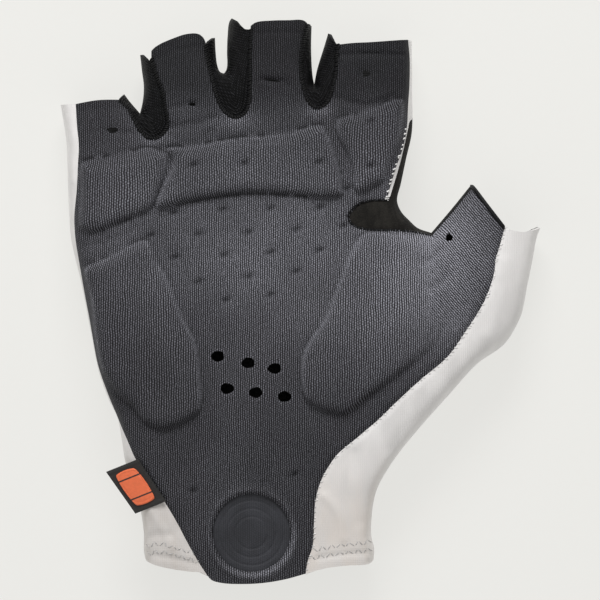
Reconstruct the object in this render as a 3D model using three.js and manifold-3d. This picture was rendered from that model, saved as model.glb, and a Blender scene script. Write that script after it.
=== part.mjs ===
// Fingerless cycling glove for the right hand, lying on its back with the palm up.
// X runs across the hand towards the thumb, Y towards the fingertips, Z up from the surface it lies on.
// Lengths are in millimetres. The origin is under the middle of the glove.
import * as THREE from 'three';
import { mergeVertices } from 'three/addons/utils/BufferGeometryUtils.js';
import Module from 'manifold-3d';

const wasm = await Module();
wasm.setup();

// Overall sizes
const gloveWidth = 139.5;
const gloveLength = 163;
const handHeight = 25;
const fingerHeight = 17.5;
const thumbHeight = 21;
const thumbLength = 76;

// Walls and gaps
const palmWall = 2.4;
const sideWall = 1.2;
const backWall = 1.2;
const seamGap = 0.3;
// How far each underside is pressed flat, and how far the hollow runs past the mouths
const floorPress = 1.4;
const mouthOverrun = 1;

// Heights of the seams over the surface that the glove lies on
const palmSeamHeight = 10;
const stripSeamHeight = 4;

// Raised and sunk details
const padRise = 2;
const padBlend = 0.8;
const hemThickness = 0.5;
const hemLength = 9;
const discRadius = 11.2;
const discSink = 0.7;
const discThickness = 0.9;
const ventDiameter = 3.6;
const pinholeLength = 2.2;
const pinholeWidth = 1.3;

// Label tab
const tapeLength = 14.6;
const tapeWidth = 9.4;
const tapeThickness = 1;
const tapeCorner = 0.4;
const patchLength = 11.6;
const patchWidth = 7;
const patchThickness = 0.5;
const patchCorner = 1.6;

// Roundness of a cross-section: 2 is an ellipse, more is squarer
const handRoundness = 2.6;
const fingerRoundness = 2.3;
// Where the widest line of a cross-section lies, as a share of its height
const waist = 0.44;

// Sections of the hand from the cuff to the finger roots.
// Columns: place along the length, left edge, right edge (shares of the width), height (share of the hand's),
// lift of the underside (share of the height here)
const handSections = [
  { along: -0.52, left: -0.318, right: 0.152, height: 0.84, lift: 0 },
  { along: -0.45, left: -0.323, right: 0.153, height: 0.85, lift: 0 },
  { along: -0.38, left: -0.331, right: 0.15, height: 0.86, lift: 0 },
  { along: -0.33, left: -0.35, right: 0.166, height: 0.88, lift: 0 },
  { along: -0.27, left: -0.367, right: 0.207, height: 0.91, lift: 0 },
  { along: -0.21, left: -0.382, right: 0.262, height: 0.95, lift: 0 },
  { along: -0.16, left: -0.402, right: 0.288, height: 0.98, lift: 0 },
  { along: -0.1, left: -0.426, right: 0.292, height: 1, lift: 0 },
  { along: 0, left: -0.449, right: 0.292, height: 1, lift: 0 },
  { along: 0.06, left: -0.464, right: 0.288, height: 0.99, lift: 0 },
  { along: 0.1, left: -0.474, right: 0.275, height: 0.97, lift: 0 },
  { along: 0.13, left: -0.478, right: 0.243, height: 0.95, lift: 0 },
  { along: 0.16, left: -0.481, right: 0.21, height: 0.92, lift: 0 },
  { along: 0.2, left: -0.483, right: 0.207, height: 0.87, lift: 0 },
  { along: 0.25, left: -0.482, right: 0.213, height: 0.81, lift: 0.02 },
  { along: 0.29, left: -0.478, right: 0.214, height: 0.76, lift: 0.15 },
  { along: 0.31, left: -0.472, right: 0.212, height: 0.68, lift: 0.32 },
];

// Finger tubes. Columns as above, with the height as a share of the fingers' height.
const fingerSections = {
  little: [
    { along: 0.14, left: -0.481, right: -0.27, height: 1.02 },
    { along: 0.2, left: -0.483, right: -0.285, height: 1.04 },
    { along: 0.27, left: -0.487, right: -0.302, height: 1.02 },
    { along: 0.331, left: -0.497, right: -0.334, height: 0.98 },
    { along: 0.37, left: -0.5, right: -0.366, height: 0.96 },
  ],
  ring: [
    { along: 0.14, left: -0.36, right: -0.12, height: 1.05 },
    { along: 0.22, left: -0.352, right: -0.132, height: 1.07 },
    { along: 0.331, left: -0.333, right: -0.152, height: 1.03 },
    { along: 0.4, left: -0.33, right: -0.168, height: 1 },
    { along: 0.48, left: -0.333, right: -0.176, height: 0.98 },
  ],
  middle: [
    { along: 0.14, left: -0.19, right: 0.06, height: 1.05 },
    { along: 0.25, left: -0.18, right: 0.05, height: 1.08 },
    { along: 0.33, left: -0.172, right: 0.038, height: 1.05 },
    { along: 0.4, left: -0.161, right: 0.027, height: 1.02 },
    { along: 0.51, left: -0.144, right: 0.024, height: 1 },
  ],
  index: [
    { along: 0.14, left: -0.01, right: 0.198, height: 1.05 },
    { along: 0.2, left: 0, right: 0.208, height: 1.08 },
    { along: 0.3, left: 0.02, right: 0.233, height: 1.05 },
    { along: 0.39, left: 0.031, right: 0.234, height: 1.02 },
    { along: 0.49, left: 0.059, right: 0.233, height: 1 },
  ],
};

// Thumb tube, along its own axis from inside the palm (-1) to its mouth (0). Edges are shares of its length.
const thumbSections = [
  { along: -1, left: -0.12, right: 0.06, height: 1 },
  { along: -0.88, left: -0.18, right: 0.135, height: 1.1 },
  { along: -0.72, left: -0.25, right: 0.188, height: 1.17 },
  { along: -0.57, left: -0.27, right: 0.224, height: 1.19 },
  { along: -0.45, left: -0.25, right: 0.268, height: 1.17 },
  { along: -0.35, left: -0.22, right: 0.272, height: 1.12 },
  { along: -0.23, left: -0.19, right: 0.243, height: 1.06 },
  { along: 0, left: -0.158, right: 0.157, height: 0.98 },
  { along: 0.12, left: -0.15, right: 0.12, height: 0.96 },
];
const thumbMouth = { across: 0.428, along: 0.166 };
const thumbLean = THREE.MathUtils.degToRad(31.5);

// Outline of the palm panel, read upwards from the cuff on the outer side, round each finger, over the thumb
// and down the inner side. Columns: place across, place along (shares of the width and the length).
const outerSeam = [
  [-0.162, -0.497], [-0.188, -0.484], [-0.233, -0.426], [-0.28, -0.356], [-0.339, -0.281], [-0.38, -0.215],
  [-0.412, -0.158], [-0.433, -0.075], [-0.448, 0.007], [-0.465, 0.115], [-0.462, 0.197], [-0.459, 0.272],
  [-0.465, 0.346],
];
const fingerFronts = [
  [[-0.465, 0.347], [-0.42, 0.353], [-0.372, 0.354], [-0.356, 0.341], [-0.341, 0.32], [-0.326, 0.297]],
  [[-0.314, 0.288], [-0.3, 0.286], [-0.285, 0.293], [-0.275, 0.311]],
  [[-0.279, 0.334], [-0.287, 0.369], [-0.3, 0.4], [-0.308, 0.422], [-0.308, 0.44], [-0.26, 0.463], [-0.234, 0.47],
    [-0.21, 0.47], [-0.194, 0.451], [-0.181, 0.397], [-0.168, 0.356]],
  [[-0.155, 0.334], [-0.143, 0.325], [-0.13, 0.323], [-0.115, 0.331]],
  [[-0.107, 0.352], [-0.105, 0.39], [-0.105, 0.432], [-0.103, 0.474], [-0.091, 0.49], [-0.04, 0.493],
    [0.007, 0.494], [0.016, 0.487], [0.01, 0.46], [0.004, 0.401], [0.01, 0.37]],
  [[0.02, 0.35], [0.032, 0.341], [0.044, 0.341], [0.057, 0.353]],
  [[0.068, 0.379], [0.074, 0.409], [0.077, 0.449], [0.11, 0.454], [0.16, 0.456], [0.22, 0.46], [0.227, 0.43],
    [0.226, 0.37], [0.221, 0.304], [0.202, 0.236], [0.183, 0.178]],
];
const crotchLens = [
  [0.15, 0.175], [0.12, 0.168], [0.101, 0.148], [0.11, 0.133], [0.135, 0.126], [0.2, 0.123], [0.272, 0.117],
];
const thumbFront = [[0.319, 0.162], [0.352, 0.2], [0.358, 0.205], [0.38, 0.174], [0.423, 0.126]];
const innerSeam = [
  [0.423, 0.126], [0.405, 0.071], [0.395, 0.026], [0.365, -0.027], [0.306, -0.099], [0.249, -0.14],
  [0.165, -0.208], [0.078, -0.272], [0.042, -0.321], [0.029, -0.391], [0.016, -0.461], [0.01, -0.484],
];
const palmHem = [[-0.031, -0.493], [-0.075, -0.499], [-0.119, -0.5]];

// Strips between the fingers, each out to its two peaks. The palm panel is cut out of them.
const stripOutlines = {
  fourchette_little_ring: [
    [-0.3, 0.27], [-0.345, 0.29], [-0.38, 0.335], [-0.376, 0.356], [-0.366, 0.369], [-0.352, 0.355], [-0.334, 0.336],
    [-0.338, 0.38], [-0.34, 0.42], [-0.335, 0.438], [-0.305, 0.428], [-0.29, 0.4], [-0.265, 0.34], [-0.262, 0.3],
  ],
  fourchette_ring_middle: [
    [-0.132, 0.305], [-0.165, 0.325], [-0.185, 0.38], [-0.2, 0.44], [-0.195, 0.454], [-0.177, 0.468],
    [-0.17, 0.44], [-0.166, 0.41], [-0.162, 0.404], [-0.158, 0.42], [-0.156, 0.45], [-0.152, 0.48],
    [-0.144, 0.502], [-0.128, 0.49], [-0.1, 0.478], [-0.098, 0.44], [-0.098, 0.37], [-0.1, 0.32],
  ],
  fourchette_middle_index: [
    [0.038, 0.322], [0.008, 0.335], [-0.004, 0.38], [0, 0.45], [0.01, 0.487], [0.026, 0.488],
    [0.029, 0.44], [0.0298, 0.41], [0.031, 0.396], [0.0322, 0.41], [0.038, 0.44], [0.05, 0.468],
    [0.059, 0.476], [0.068, 0.464], [0.085, 0.45], [0.085, 0.4], [0.075, 0.345],
  ],
};
const gussetOutline = [
  [0.222, 0.318], [0.25, 0.318], [0.252, 0.24], [0.29, 0.2], [0.345, 0.225], [0.37, 0.205], [0.352, 0.165],
  [0.3, 0.085], [0.24, 0.075], [0.15, 0.1], [0.09, 0.13], [0.09, 0.16], [0.13, 0.185], [0.17, 0.19],
  [0.19, 0.236], [0.21, 0.304],
];

// Edge of the back panel at the finger mouths, from the outer side to the inner side
const backMouths = [
  [-0.53, 0.346], [-0.43, 0.351], [-0.352, 0.349], [-0.338, 0.36], [-0.336, 0.422], [-0.305, 0.423], [-0.26, 0.456],
  [-0.21, 0.462], [-0.195, 0.447], [-0.174, 0.452], [-0.152, 0.48], [-0.105, 0.472], [-0.09, 0.485], [0, 0.488],
  [0.026, 0.48], [0.05, 0.455], [0.08, 0.445], [0.15, 0.452], [0.215, 0.455], [0.26, 0.457],
];
// Edge of the back panel at the cuff, from the inner side to the outer side
const backCuff = [
  [0.2, -0.459], [0.14, -0.466], [0.06, -0.472], [-0.03, -0.484], [-0.2, -0.48], [-0.28, -0.47], [-0.4, -0.459],
];
// Edge of both panels at the thumb mouth, from its inner side to its outer side
const thumbCut = [[0.33, 0.24], [0.35, 0.204], [0.374, 0.174], [0.419, 0.123], [0.47, 0.121], [0.56, 0.13]];

// Raised pads on the palm. Each outline is a smooth closed curve through its points.
const padOutlines = {
  little: [
    [-0.452, 0.243], [-0.412, 0.253], [-0.366, 0.259], [-0.318, 0.27], [-0.272, 0.247], [-0.288, 0.194],
    [-0.312, 0.155], [-0.366, 0.139], [-0.405, 0.124], [-0.452, 0.116], [-0.457, 0.18],
  ],
  ring_middle: [
    [-0.282, 0.272], [-0.181, 0.281], [-0.089, 0.291], [-0.02, 0.297], [0.048, 0.309], [0.068, 0.279], [0.081, 0.24],
    [0.091, 0.19], [0.06, 0.178], [-0.02, 0.184], [-0.102, 0.187], [-0.17, 0.18], [-0.235, 0.171], [-0.3, 0.161],
    [-0.27, 0.215],
  ],
  index: [
    [0.079, 0.322], [0.141, 0.337], [0.208, 0.357], [0.214, 0.307], [0.18, 0.218], [0.16, 0.2], [0.12, 0.188],
    [0.11, 0.224], [0.085, 0.275],
  ],
  outer_heel: [
    [-0.445, 0.05], [-0.412, 0.072], [-0.366, 0.091], [-0.314, 0.107], [-0.299, 0.073], [-0.274, 0.04],
    [-0.24, -0.03], [-0.213, -0.08], [-0.203, -0.142], [-0.208, -0.203], [-0.247, -0.221], [-0.287, -0.228],
    [-0.325, -0.212], [-0.36, -0.18], [-0.41, -0.12], [-0.43, -0.05],
  ],
  thumb_ball: [
    [0.135, 0.119], [0.11, 0.098], [0.088, 0.052], [0.072, 0.015], [0.045, -0.036], [0.01, -0.085], [-0.003, -0.136],
    [0.03, -0.188], [0.088, -0.2], [0.139, -0.176], [0.208, -0.135], [0.285, -0.085], [0.345, -0.025],
    [0.378, 0.04], [0.375, 0.1], [0.27, 0.114],
  ],
};

// Holes through the palm panel. Columns: place across, place along (shares of the width and the length).
const vents = [
  [-0.17, -0.099], [-0.107, -0.111], [-0.052, -0.12], [-0.15, -0.156], [-0.091, -0.163], [-0.032, -0.17],
];
const pinholes = [[-0.388, 0.299], [-0.222, 0.345], [-0.06, 0.388], [0.137, 0.399], [0.308, 0.111]];

// Place beyond the fingertips and the cuff where the cutting prisms end
const farAlong = 0.6;

const disc = { across: -0.1, along: -0.41 };
const label = { across: -0.31, along: -0.318, seamAngle: THREE.MathUtils.degToRad(-55), droop: 0.36 };

// Resolution of the curved surfaces
const handSides = 32;
const thumbSides = 22;
const fingerSides = 18;
const stepLength = 10;
const circleSides = 28;
const holeSides = 12;
const cornerSides = 6;
const padSides = 24;
const padRoot = 0.85;
const padRings = [
  { reach: 1, rise: 0 }, { reach: 0.92, rise: 0.62 }, { reach: 0.8, rise: 0.95 }, { reach: 0.4, rise: 1 },
];

const finish = {
  palm: new THREE.MeshStandardMaterial({ color: 0x4b4b50, roughness: 0.85, metalness: 0 }),
  back: new THREE.MeshStandardMaterial({ color: 0xe2dfdd, roughness: 0.5, metalness: 0 }),
  mesh: new THREE.MeshStandardMaterial({ color: 0x171716, roughness: 0.8, metalness: 0 }),
  suede: new THREE.MeshStandardMaterial({ color: 0x2a2825, roughness: 0.9, metalness: 0 }),
  disc: new THREE.MeshStandardMaterial({ color: 0x2e2f34, roughness: 0.55, metalness: 0 }),
  tape: new THREE.MeshStandardMaterial({ color: 0x2d2d2b, roughness: 0.7, metalness: 0 }),
  patch: new THREE.MeshStandardMaterial({ color: 0xf0683a, roughness: 0.6, metalness: 0 }),
};

const inMillimetres = ([across, along]) => new THREE.Vector2(across * gloveWidth, along * gloveLength);

// Turns a closed geometry into a solid that can be cut and joined.
function solidOf(geometry) {
  geometry.deleteAttribute('normal');
  geometry.deleteAttribute('uv');
  const merged = mergeVertices(geometry, 1e-4);
  const vertProperties = new Float32Array(merged.attributes.position.array);
  const triVerts = new Uint32Array(merged.index.array);
  return new wasm.Manifold(new wasm.Mesh({ numProp: 3, vertProperties, triVerts }));
}

function pieceOf(name, solid, material) {
  const cut = solid.getMesh();
  const geometry = new THREE.BufferGeometry();
  geometry.setAttribute('position', new THREE.BufferAttribute(new Float32Array(cut.vertProperties), 3));
  geometry.setIndex(new THREE.BufferAttribute(new Uint32Array(cut.triVerts), 1));
  geometry.computeVertexNormals();
  const piece = new THREE.Mesh(geometry, material);
  piece.name = name;
  return piece;
}

// Closed geometry through rings of points, each ring with the same number of points.
function skin(rings) {
  const sides = rings[0].length;
  const points = rings.flat();
  const first = points.length;
  const middle = (ring) => ring.reduce((sum, p) => sum.add(p), new THREE.Vector3()).divideScalar(sides);
  points.push(middle(rings[0]), middle(rings[rings.length - 1]));
  const faces = [];
  for (let r = 0; r + 1 < rings.length; r += 1) {
    for (let s = 0; s < sides; s += 1) {
      const a = r * sides + s;
      const b = r * sides + ((s + 1) % sides);
      faces.push(a, b, b + sides, a, b + sides, a + sides);
    }
  }
  const last = (rings.length - 1) * sides;
  for (let s = 0; s < sides; s += 1) {
    const next = (s + 1) % sides;
    faces.push(first, next, s, first + 1, last + s, last + next);
  }
  const geometry = new THREE.BufferGeometry().setFromPoints(points);
  geometry.setIndex(faces);
  return geometry;
}

// Value of one column of a table of sections, smoothly between its rows.
function columnAt(sections, column, along) {
  const last = sections.length - 1;
  if (along <= sections[0].along) return sections[0][column];
  if (along >= sections[last].along) return sections[last][column];
  const i = sections.findIndex((row) => row.along > along) - 1;
  const slope = (k) => {
    const before = sections[Math.max(k - 1, 0)];
    const after = sections[Math.min(k + 1, last)];
    return (after[column] - before[column]) / (after.along - before.along);
  };
  const from = sections[i];
  const to = sections[i + 1];
  const span = to.along - from.along;
  const t = (along - from.along) / span;
  const ease = t * t * (3 - 2 * t);
  const pull = t * (1 - t) * span;
  return from[column] * (1 - ease) + to[column] * ease + pull * ((1 - t) * slope(i) - t * slope(i + 1));
}

// A tube describes one limb: where its sections lie and how its own axes sit in the glove.
function tube(sections, lengthScale, edgeScale, heightScale, roundness, sides, mouth, lean) {
  const cos = Math.cos(lean);
  const sin = Math.sin(lean);
  return {
    sections, lengthScale, edgeScale, heightScale, roundness, sides,
    toGlove: (edge, along, z) => new THREE.Vector3(
      mouth.x + edge * cos + along * sin, mouth.y - edge * sin + along * cos, z),
    toTube: (x, y) => ({
      edge: (x - mouth.x) * cos - (y - mouth.y) * sin,
      along: (x - mouth.x) * sin + (y - mouth.y) * cos,
    }),
    sizeAt: (share) => ({
      left: columnAt(sections, 'left', share) * edgeScale,
      right: columnAt(sections, 'right', share) * edgeScale,
      height: columnAt(sections, 'height', share) * heightScale,
      lift: 'lift' in sections[0] ? columnAt(sections, 'lift', share) : 0,
    }),
  };
}

const noLean = [new THREE.Vector2(0, 0), 0];
const hand = tube(handSections, gloveLength, gloveWidth, handHeight, handRoundness, handSides, ...noLean);
const fingers = Object.values(fingerSections).map((sections) => (
  tube(sections, gloveLength, gloveWidth, fingerHeight, fingerRoundness, fingerSides, ...noLean)));
const thumbBase = inMillimetres([thumbMouth.across, thumbMouth.along]);
const thumb = tube(thumbSections, thumbLength, thumbLength, thumbHeight, fingerRoundness, thumbSides,
  thumbBase, thumbLean);
const limbs = [hand, ...fingers, thumb];

// Solid of one limb, inset by its walls and run past its first and last sections by a length.
const wholeForm = { side: 0, top: 0, floor: 0, before: 0, after: 0 };
const openForm = { side: sideWall, top: palmWall, floor: backWall, before: mouthOverrun, after: mouthOverrun };
const palmForm = { ...openForm, after: -sideWall };
const hemForm = { ...wholeForm, side: -hemThickness, top: -hemThickness };

function limbSolid(limb, form) {
  const power = 2 / limb.roundness;
  const start = limb.sections[0].along * limb.lengthScale - form.before;
  const end = limb.sections[limb.sections.length - 1].along * limb.lengthScale + form.after;
  const steps = Math.ceil((end - start) / stepLength);
  const rings = [];
  for (let k = 0; k <= steps; k += 1) {
    const along = start + ((end - start) * k) / steps;
    const { left, right, height, lift } = limb.sizeAt(along / limb.lengthScale);
    const half = (right - left) / 2 - form.side;
    const middle = height * waist;
    const floor = height * lift + form.floor;
    const ring = [];
    for (let s = 0; s < limb.sides; s += 1) {
      const turn = (2 * Math.PI * s) / limb.sides;
      const across = Math.abs(Math.cos(turn)) ** power * Math.sign(Math.cos(turn));
      const up = Math.abs(Math.sin(turn)) ** power;
      const upper = middle + (height - form.top - middle) * up;
      const lower = Math.max(floor, middle - (middle - floor + floorPress) * up);
      const z = Math.sin(turn) >= 0 ? upper : lower;
      ring.push(limb.toGlove((left + right) / 2 + half * across, along, z));
    }
    rings.push(ring.reverse());
  }
  return solidOf(skin(rings));
}

// Height of the glove's upper surface over a place in plan. The limbs meet in a valley, which the blend fills.
function topAt(x, y, blend = 0) {
  let height = 0;
  let sum = 0;
  for (const limb of limbs) {
    const { edge, along } = limb.toTube(x, y);
    const share = along / limb.lengthScale;
    const end = limb.sections[limb.sections.length - 1].along;
    if (share > limb.sections[0].along && share < end) {
      const size = limb.sizeAt(share);
      const off = Math.abs((2 * edge - size.left - size.right) / (size.right - size.left));
      if (off < 1) {
        const crown = (1 - off ** limb.roundness) ** (1 / limb.roundness);
        const top = size.height * (waist + (1 - waist) * crown);
        height = Math.max(height, top);
        if (blend > 0) sum += Math.exp(top / blend);
      }
    }
  }
  return sum > 0 ? Math.log(sum) * blend : height;
}

// Outline moved outwards by a distance. It runs anticlockwise. Sharp corners move no further than the limit.
const leastStretch = 0.5;

function grown(outline, distance) {
  const count = outline.length;
  return outline.map((point, i) => {
    const into = point.clone().sub(outline[(i + count - 1) % count]).normalize();
    const out = outline[(i + 1) % count].clone().sub(point).normalize();
    const normal = new THREE.Vector2(into.y + out.y, -into.x - out.x).normalize();
    const stretch = Math.max(leastStretch, normal.x * into.y - normal.y * into.x);
    return point.clone().addScaledVector(normal, distance / stretch);
  });
}

// Upright prism over an outline in plan.
function prism(outline, bottom, top) {
  const shape = new THREE.Shape(outline);
  const geometry = new THREE.ExtrudeGeometry(shape, { depth: top - bottom, bevelEnabled: false });
  geometry.translate(0, 0, bottom);
  return solidOf(geometry);
}

const skyHeight = 2 * handHeight;
const belowFloor = -handHeight;
const smooth = (rows, count) => new THREE.SplineCurve(rows.map(inMillimetres)).getPoints(count);
const straight = (rows) => rows.map(inMillimetres);

function palmOutline() {
  const points = [
    ...smooth(outerSeam, 30), ...fingerFronts.flatMap(straight), ...straight(crotchLens),
    ...straight(thumbFront.slice(0, -1)), ...smooth(innerSeam, 28), ...straight(palmHem),
  ];
  const apart = points.filter((point, i) => point.distanceTo(points[(i + 1) % points.length]) > seamGap);
  return apart.reverse();
}

function anticlockwise(outline) {
  return THREE.ShapeUtils.isClockWise(outline) ? outline.slice().reverse() : outline;
}

// A layer that follows the upper surface over an outline, between two offsets from it.
function layer(outline, bottomOffset, rings, rise, blend = 0) {
  const centre = outline.reduce((sum, p) => sum.add(p), new THREE.Vector2()).divideScalar(outline.length);
  const ringAt = (reach, offset, smoothing) => outline.map((point) => {
    const place = centre.clone().lerp(point, reach);
    return new THREE.Vector3(place.x, place.y, topAt(place.x, place.y, smoothing) + offset);
  });
  const inward = rings.map((ring) => ringAt(ring.reach, rise * ring.rise, blend));
  const outward = rings.slice().reverse().map((ring) => ringAt(ring.reach, bottomOffset, 0));
  return solidOf(skin([...outward, ...inward]));
}

function padSolid(rows) {
  const curve = new THREE.SplineCurve([...rows, rows[0]].map(inMillimetres));
  const outline = anticlockwise(curve.getPoints(padSides).slice(0, -1));
  return layer(outline, -palmWall * padRoot, padRings, padRise, padBlend);
}

function circle(radius, place) {
  const centre = inMillimetres([place.across, place.along]);
  return Array.from({ length: circleSides }, (_, i) => {
    const turn = (2 * Math.PI * i) / circleSides;
    return new THREE.Vector2(centre.x + radius * Math.cos(turn), centre.y + radius * Math.sin(turn));
  });
}

const flatRings = [{ reach: 1, rise: 1 }, { reach: 0.45, rise: 1 }];

function holeSolid(place, length, width) {
  const centre = inMillimetres(place);
  const geometry = new THREE.CylinderGeometry(0.5, 0.5, handHeight, holeSides);
  geometry.rotateX(Math.PI / 2);
  geometry.scale(length, width, 1);
  geometry.translate(centre.x, centre.y, topAt(centre.x, centre.y));
  return solidOf(geometry);
}

function union(solids) {
  return solids.reduce((joined, solid) => joined.add(solid));
}

// The whole glove as one hollow shell, before it is divided into panels
const outer = union(limbs.map((limb) => limbSolid(limb, wholeForm)));
const hollow = union(limbs.map((limb) => limbSolid(limb, limb === hand ? palmForm : openForm)));
const shell = outer.subtract(hollow);

const palmPlan = anticlockwise(palmOutline());
const palmPrism = prism(palmPlan, palmSeamHeight, skyHeight);
const palmRoom = prism(grown(palmPlan, seamGap), palmSeamHeight - seamGap, skyHeight);

function palmPanel() {
  let panel = shell.intersect(palmPrism);
  for (const rows of Object.values(padOutlines)) panel = panel.add(padSolid(rows));
  const recess = layer(circle(discRadius + seamGap, disc), -(discSink + discThickness + seamGap), flatRings, padRise);
  panel = panel.subtract(recess);
  for (const place of vents) panel = panel.subtract(holeSolid(place, ventDiameter, ventDiameter));
  for (const place of pinholes) panel = panel.subtract(holeSolid(place, pinholeLength, pinholeWidth));
  return panel.intersect(palmPrism);
}

function heelDisc() {
  return layer(circle(discRadius, disc), -(discSink + discThickness), flatRings, -discSink);
}

const stripPlans = Object.entries(stripOutlines).map(([name, rows]) => [name, anticlockwise(straight(rows))]);
const gussetPlan = anticlockwise(straight(gussetOutline));

function stripPanel(plan) {
  return shell.intersect(prism(plan, stripSeamHeight, skyHeight)).subtract(palmRoom);
}

// Everything beyond the finger mouths, the thumb mouth and the cuff
function beyondMouths() {
  const far = [[backMouths[backMouths.length - 1][0], farAlong], [backMouths[0][0], farAlong]];
  return prism(anticlockwise(straight([...backMouths, ...far])), belowFloor, skyHeight);
}

function beyondThumb() {
  const far = [[thumbCut[thumbCut.length - 1][0], farAlong], [thumbCut[0][0], farAlong]];
  return prism(anticlockwise(straight([...thumbCut, ...far])), belowFloor, skyHeight);
}

const farCuff = [[backCuff[backCuff.length - 1][0], -farAlong], [backCuff[0][0], -farAlong]];

function beyondCuff() {
  return prism(anticlockwise(straight([...backCuff, ...farCuff])), belowFloor, skyHeight);
}

// The cuff's hem is folded over, so it is thicker than the back panel.
function hem() {
  const edge = Math.max(...backCuff.map((place) => place[1])) * gloveLength;
  const band = farCuff.map(inMillimetres);
  const fold = edge + hemLength;
  band.push(new THREE.Vector2(band[1].x, fold), new THREE.Vector2(band[0].x, fold));
  return limbSolid(hand, hemForm).intersect(prism(band, belowFloor, skyHeight)).subtract(hollow);
}

function backPanel() {
  let panel = shell.add(hem()).subtract(palmRoom);
  const plans = [...stripPlans.map((entry) => entry[1]), gussetPlan];
  for (const plan of plans) {
    panel = panel.subtract(prism(grown(plan, seamGap), stripSeamHeight - seamGap, skyHeight));
  }
  return panel.subtract(beyondMouths()).subtract(beyondThumb()).subtract(beyondCuff());
}

// Label tab: a flat piece of tape caught in the outer seam, which slopes down over the side of the cuff
const labelPlace = inMillimetres([label.across, label.along]);

function slab(length, width, thickness, corner) {
  const shape = new THREE.Shape();
  const halfLength = length / 2;
  const halfWidth = width / 2;
  shape.moveTo(-halfLength + corner, -halfWidth);
  shape.lineTo(halfLength - corner, -halfWidth);
  shape.absarc(halfLength - corner, -halfWidth + corner, corner, -Math.PI / 2, 0);
  shape.absarc(halfLength - corner, halfWidth - corner, corner, 0, Math.PI / 2);
  shape.absarc(-halfLength + corner, halfWidth - corner, corner, Math.PI / 2, Math.PI);
  shape.absarc(-halfLength + corner, -halfWidth + corner, corner, Math.PI, 1.5 * Math.PI);
  return new THREE.ExtrudeGeometry(shape, { depth: thickness, bevelEnabled: false, curveSegments: cornerSides });
}

function labelPiece(name, geometry, material, lift) {
  geometry.translate(0, -tapeWidth / 2, lift);
  const piece = new THREE.Mesh(geometry, material);
  piece.name = name;
  return piece;
}

// Least height at which the tape's underside clears the glove everywhere under it.
function tabHeight() {
  tab.updateMatrixWorld();
  let height = 0;
  for (const along of [-0.5, -0.25, 0, 0.25, 0.5]) {
    for (const across of [0, 0.25, 0.5, 0.75, 1]) {
      const under = tab.localToWorld(new THREE.Vector3(along * tapeLength, -across * tapeWidth, 0));
      height = Math.max(height, topAt(under.x, under.y) - under.z);
    }
  }
  return height + seamGap;
}

const tab = new THREE.Group();
tab.rotation.set(label.droop, 0, label.seamAngle, 'ZYX');
tab.position.set(labelPlace.x, labelPlace.y, 0);
tab.position.z = tabHeight();
tab.add(
  labelPiece('label_tape', slab(tapeLength, tapeWidth, tapeThickness, tapeCorner), finish.tape, 0),
  labelPiece('label_patch', slab(patchLength, patchWidth, patchThickness, patchCorner), finish.patch,
    tapeThickness + seamGap),
);

const glove = new THREE.Group();
glove.add(pieceOf('palm_panel', palmPanel(), finish.palm));
glove.add(pieceOf('back_panel', backPanel(), finish.back));
for (const [name, plan] of stripPlans) glove.add(pieceOf(name, stripPanel(plan), finish.mesh));
glove.add(pieceOf('thumb_gusset', stripPanel(gussetPlan).subtract(beyondThumb()), finish.suede));
glove.add(pieceOf('heel_disc', heelDisc(), finish.disc));
glove.add(tab);

// The origin is under the middle of the glove, on the surface that it lies on.
const bounds = new THREE.Box3().setFromObject(glove);
glove.position.set(-(bounds.min.x + bounds.max.x) / 2, -(bounds.min.y + bounds.max.y) / 2, -bounds.min.z);

export default glove;
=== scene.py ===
"""Looks of a fingerless cycling glove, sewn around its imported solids.

Flat patterns are measured in the photograph's pixels and laid on the glove, whose box comes from the frame.
Lengths are in millimetres inside the script, and in metres in the properties, the cut sizes and the meshes.
"""

import math
from types import SimpleNamespace

import bmesh
import bpy
import numpy as np
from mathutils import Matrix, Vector
from mathutils.geometry import delaunay_2d_cdt


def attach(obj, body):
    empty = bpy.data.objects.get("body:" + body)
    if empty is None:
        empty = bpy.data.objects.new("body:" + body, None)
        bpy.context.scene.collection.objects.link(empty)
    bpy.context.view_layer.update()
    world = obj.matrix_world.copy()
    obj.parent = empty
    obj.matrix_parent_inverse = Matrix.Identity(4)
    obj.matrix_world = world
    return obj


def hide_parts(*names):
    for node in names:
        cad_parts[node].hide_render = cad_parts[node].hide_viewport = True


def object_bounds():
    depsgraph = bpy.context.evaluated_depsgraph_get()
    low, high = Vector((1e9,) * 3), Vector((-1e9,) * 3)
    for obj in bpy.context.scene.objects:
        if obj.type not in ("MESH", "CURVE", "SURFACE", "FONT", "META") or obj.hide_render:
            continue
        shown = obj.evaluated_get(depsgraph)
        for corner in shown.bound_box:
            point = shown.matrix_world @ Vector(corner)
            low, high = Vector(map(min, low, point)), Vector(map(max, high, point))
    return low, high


bl_info = {
    "name": "Cycling Glove",
    "version": (1, 0, 0),
    "blender": (4, 5, 0),
    "location": "View3D > Sidebar > Glove",
    "description": "Sews the panels of a fingerless cycling glove and lights it on a pale floor",
    "category": "Object",
}

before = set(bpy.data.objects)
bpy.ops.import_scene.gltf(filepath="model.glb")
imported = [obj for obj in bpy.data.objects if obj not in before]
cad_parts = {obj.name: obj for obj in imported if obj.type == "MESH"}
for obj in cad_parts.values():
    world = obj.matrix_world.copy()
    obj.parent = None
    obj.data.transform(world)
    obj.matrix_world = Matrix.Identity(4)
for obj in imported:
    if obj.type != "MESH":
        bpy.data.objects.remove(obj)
SOLID_LOW, SOLID_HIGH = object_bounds()
MM = 0.001
LOW = np.array(SOLID_LOW) / MM
HIGH = np.array(SOLID_HIGH) / MM

# Where the glove's box lies in the photograph, in pixels
PHOTO_LEFT, PHOTO_RIGHT = 59.9, 541.0
PHOTO_TOP, PHOTO_BOTTOM = 18.1, 581.6
PHOTO_SIZE = 600

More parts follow.
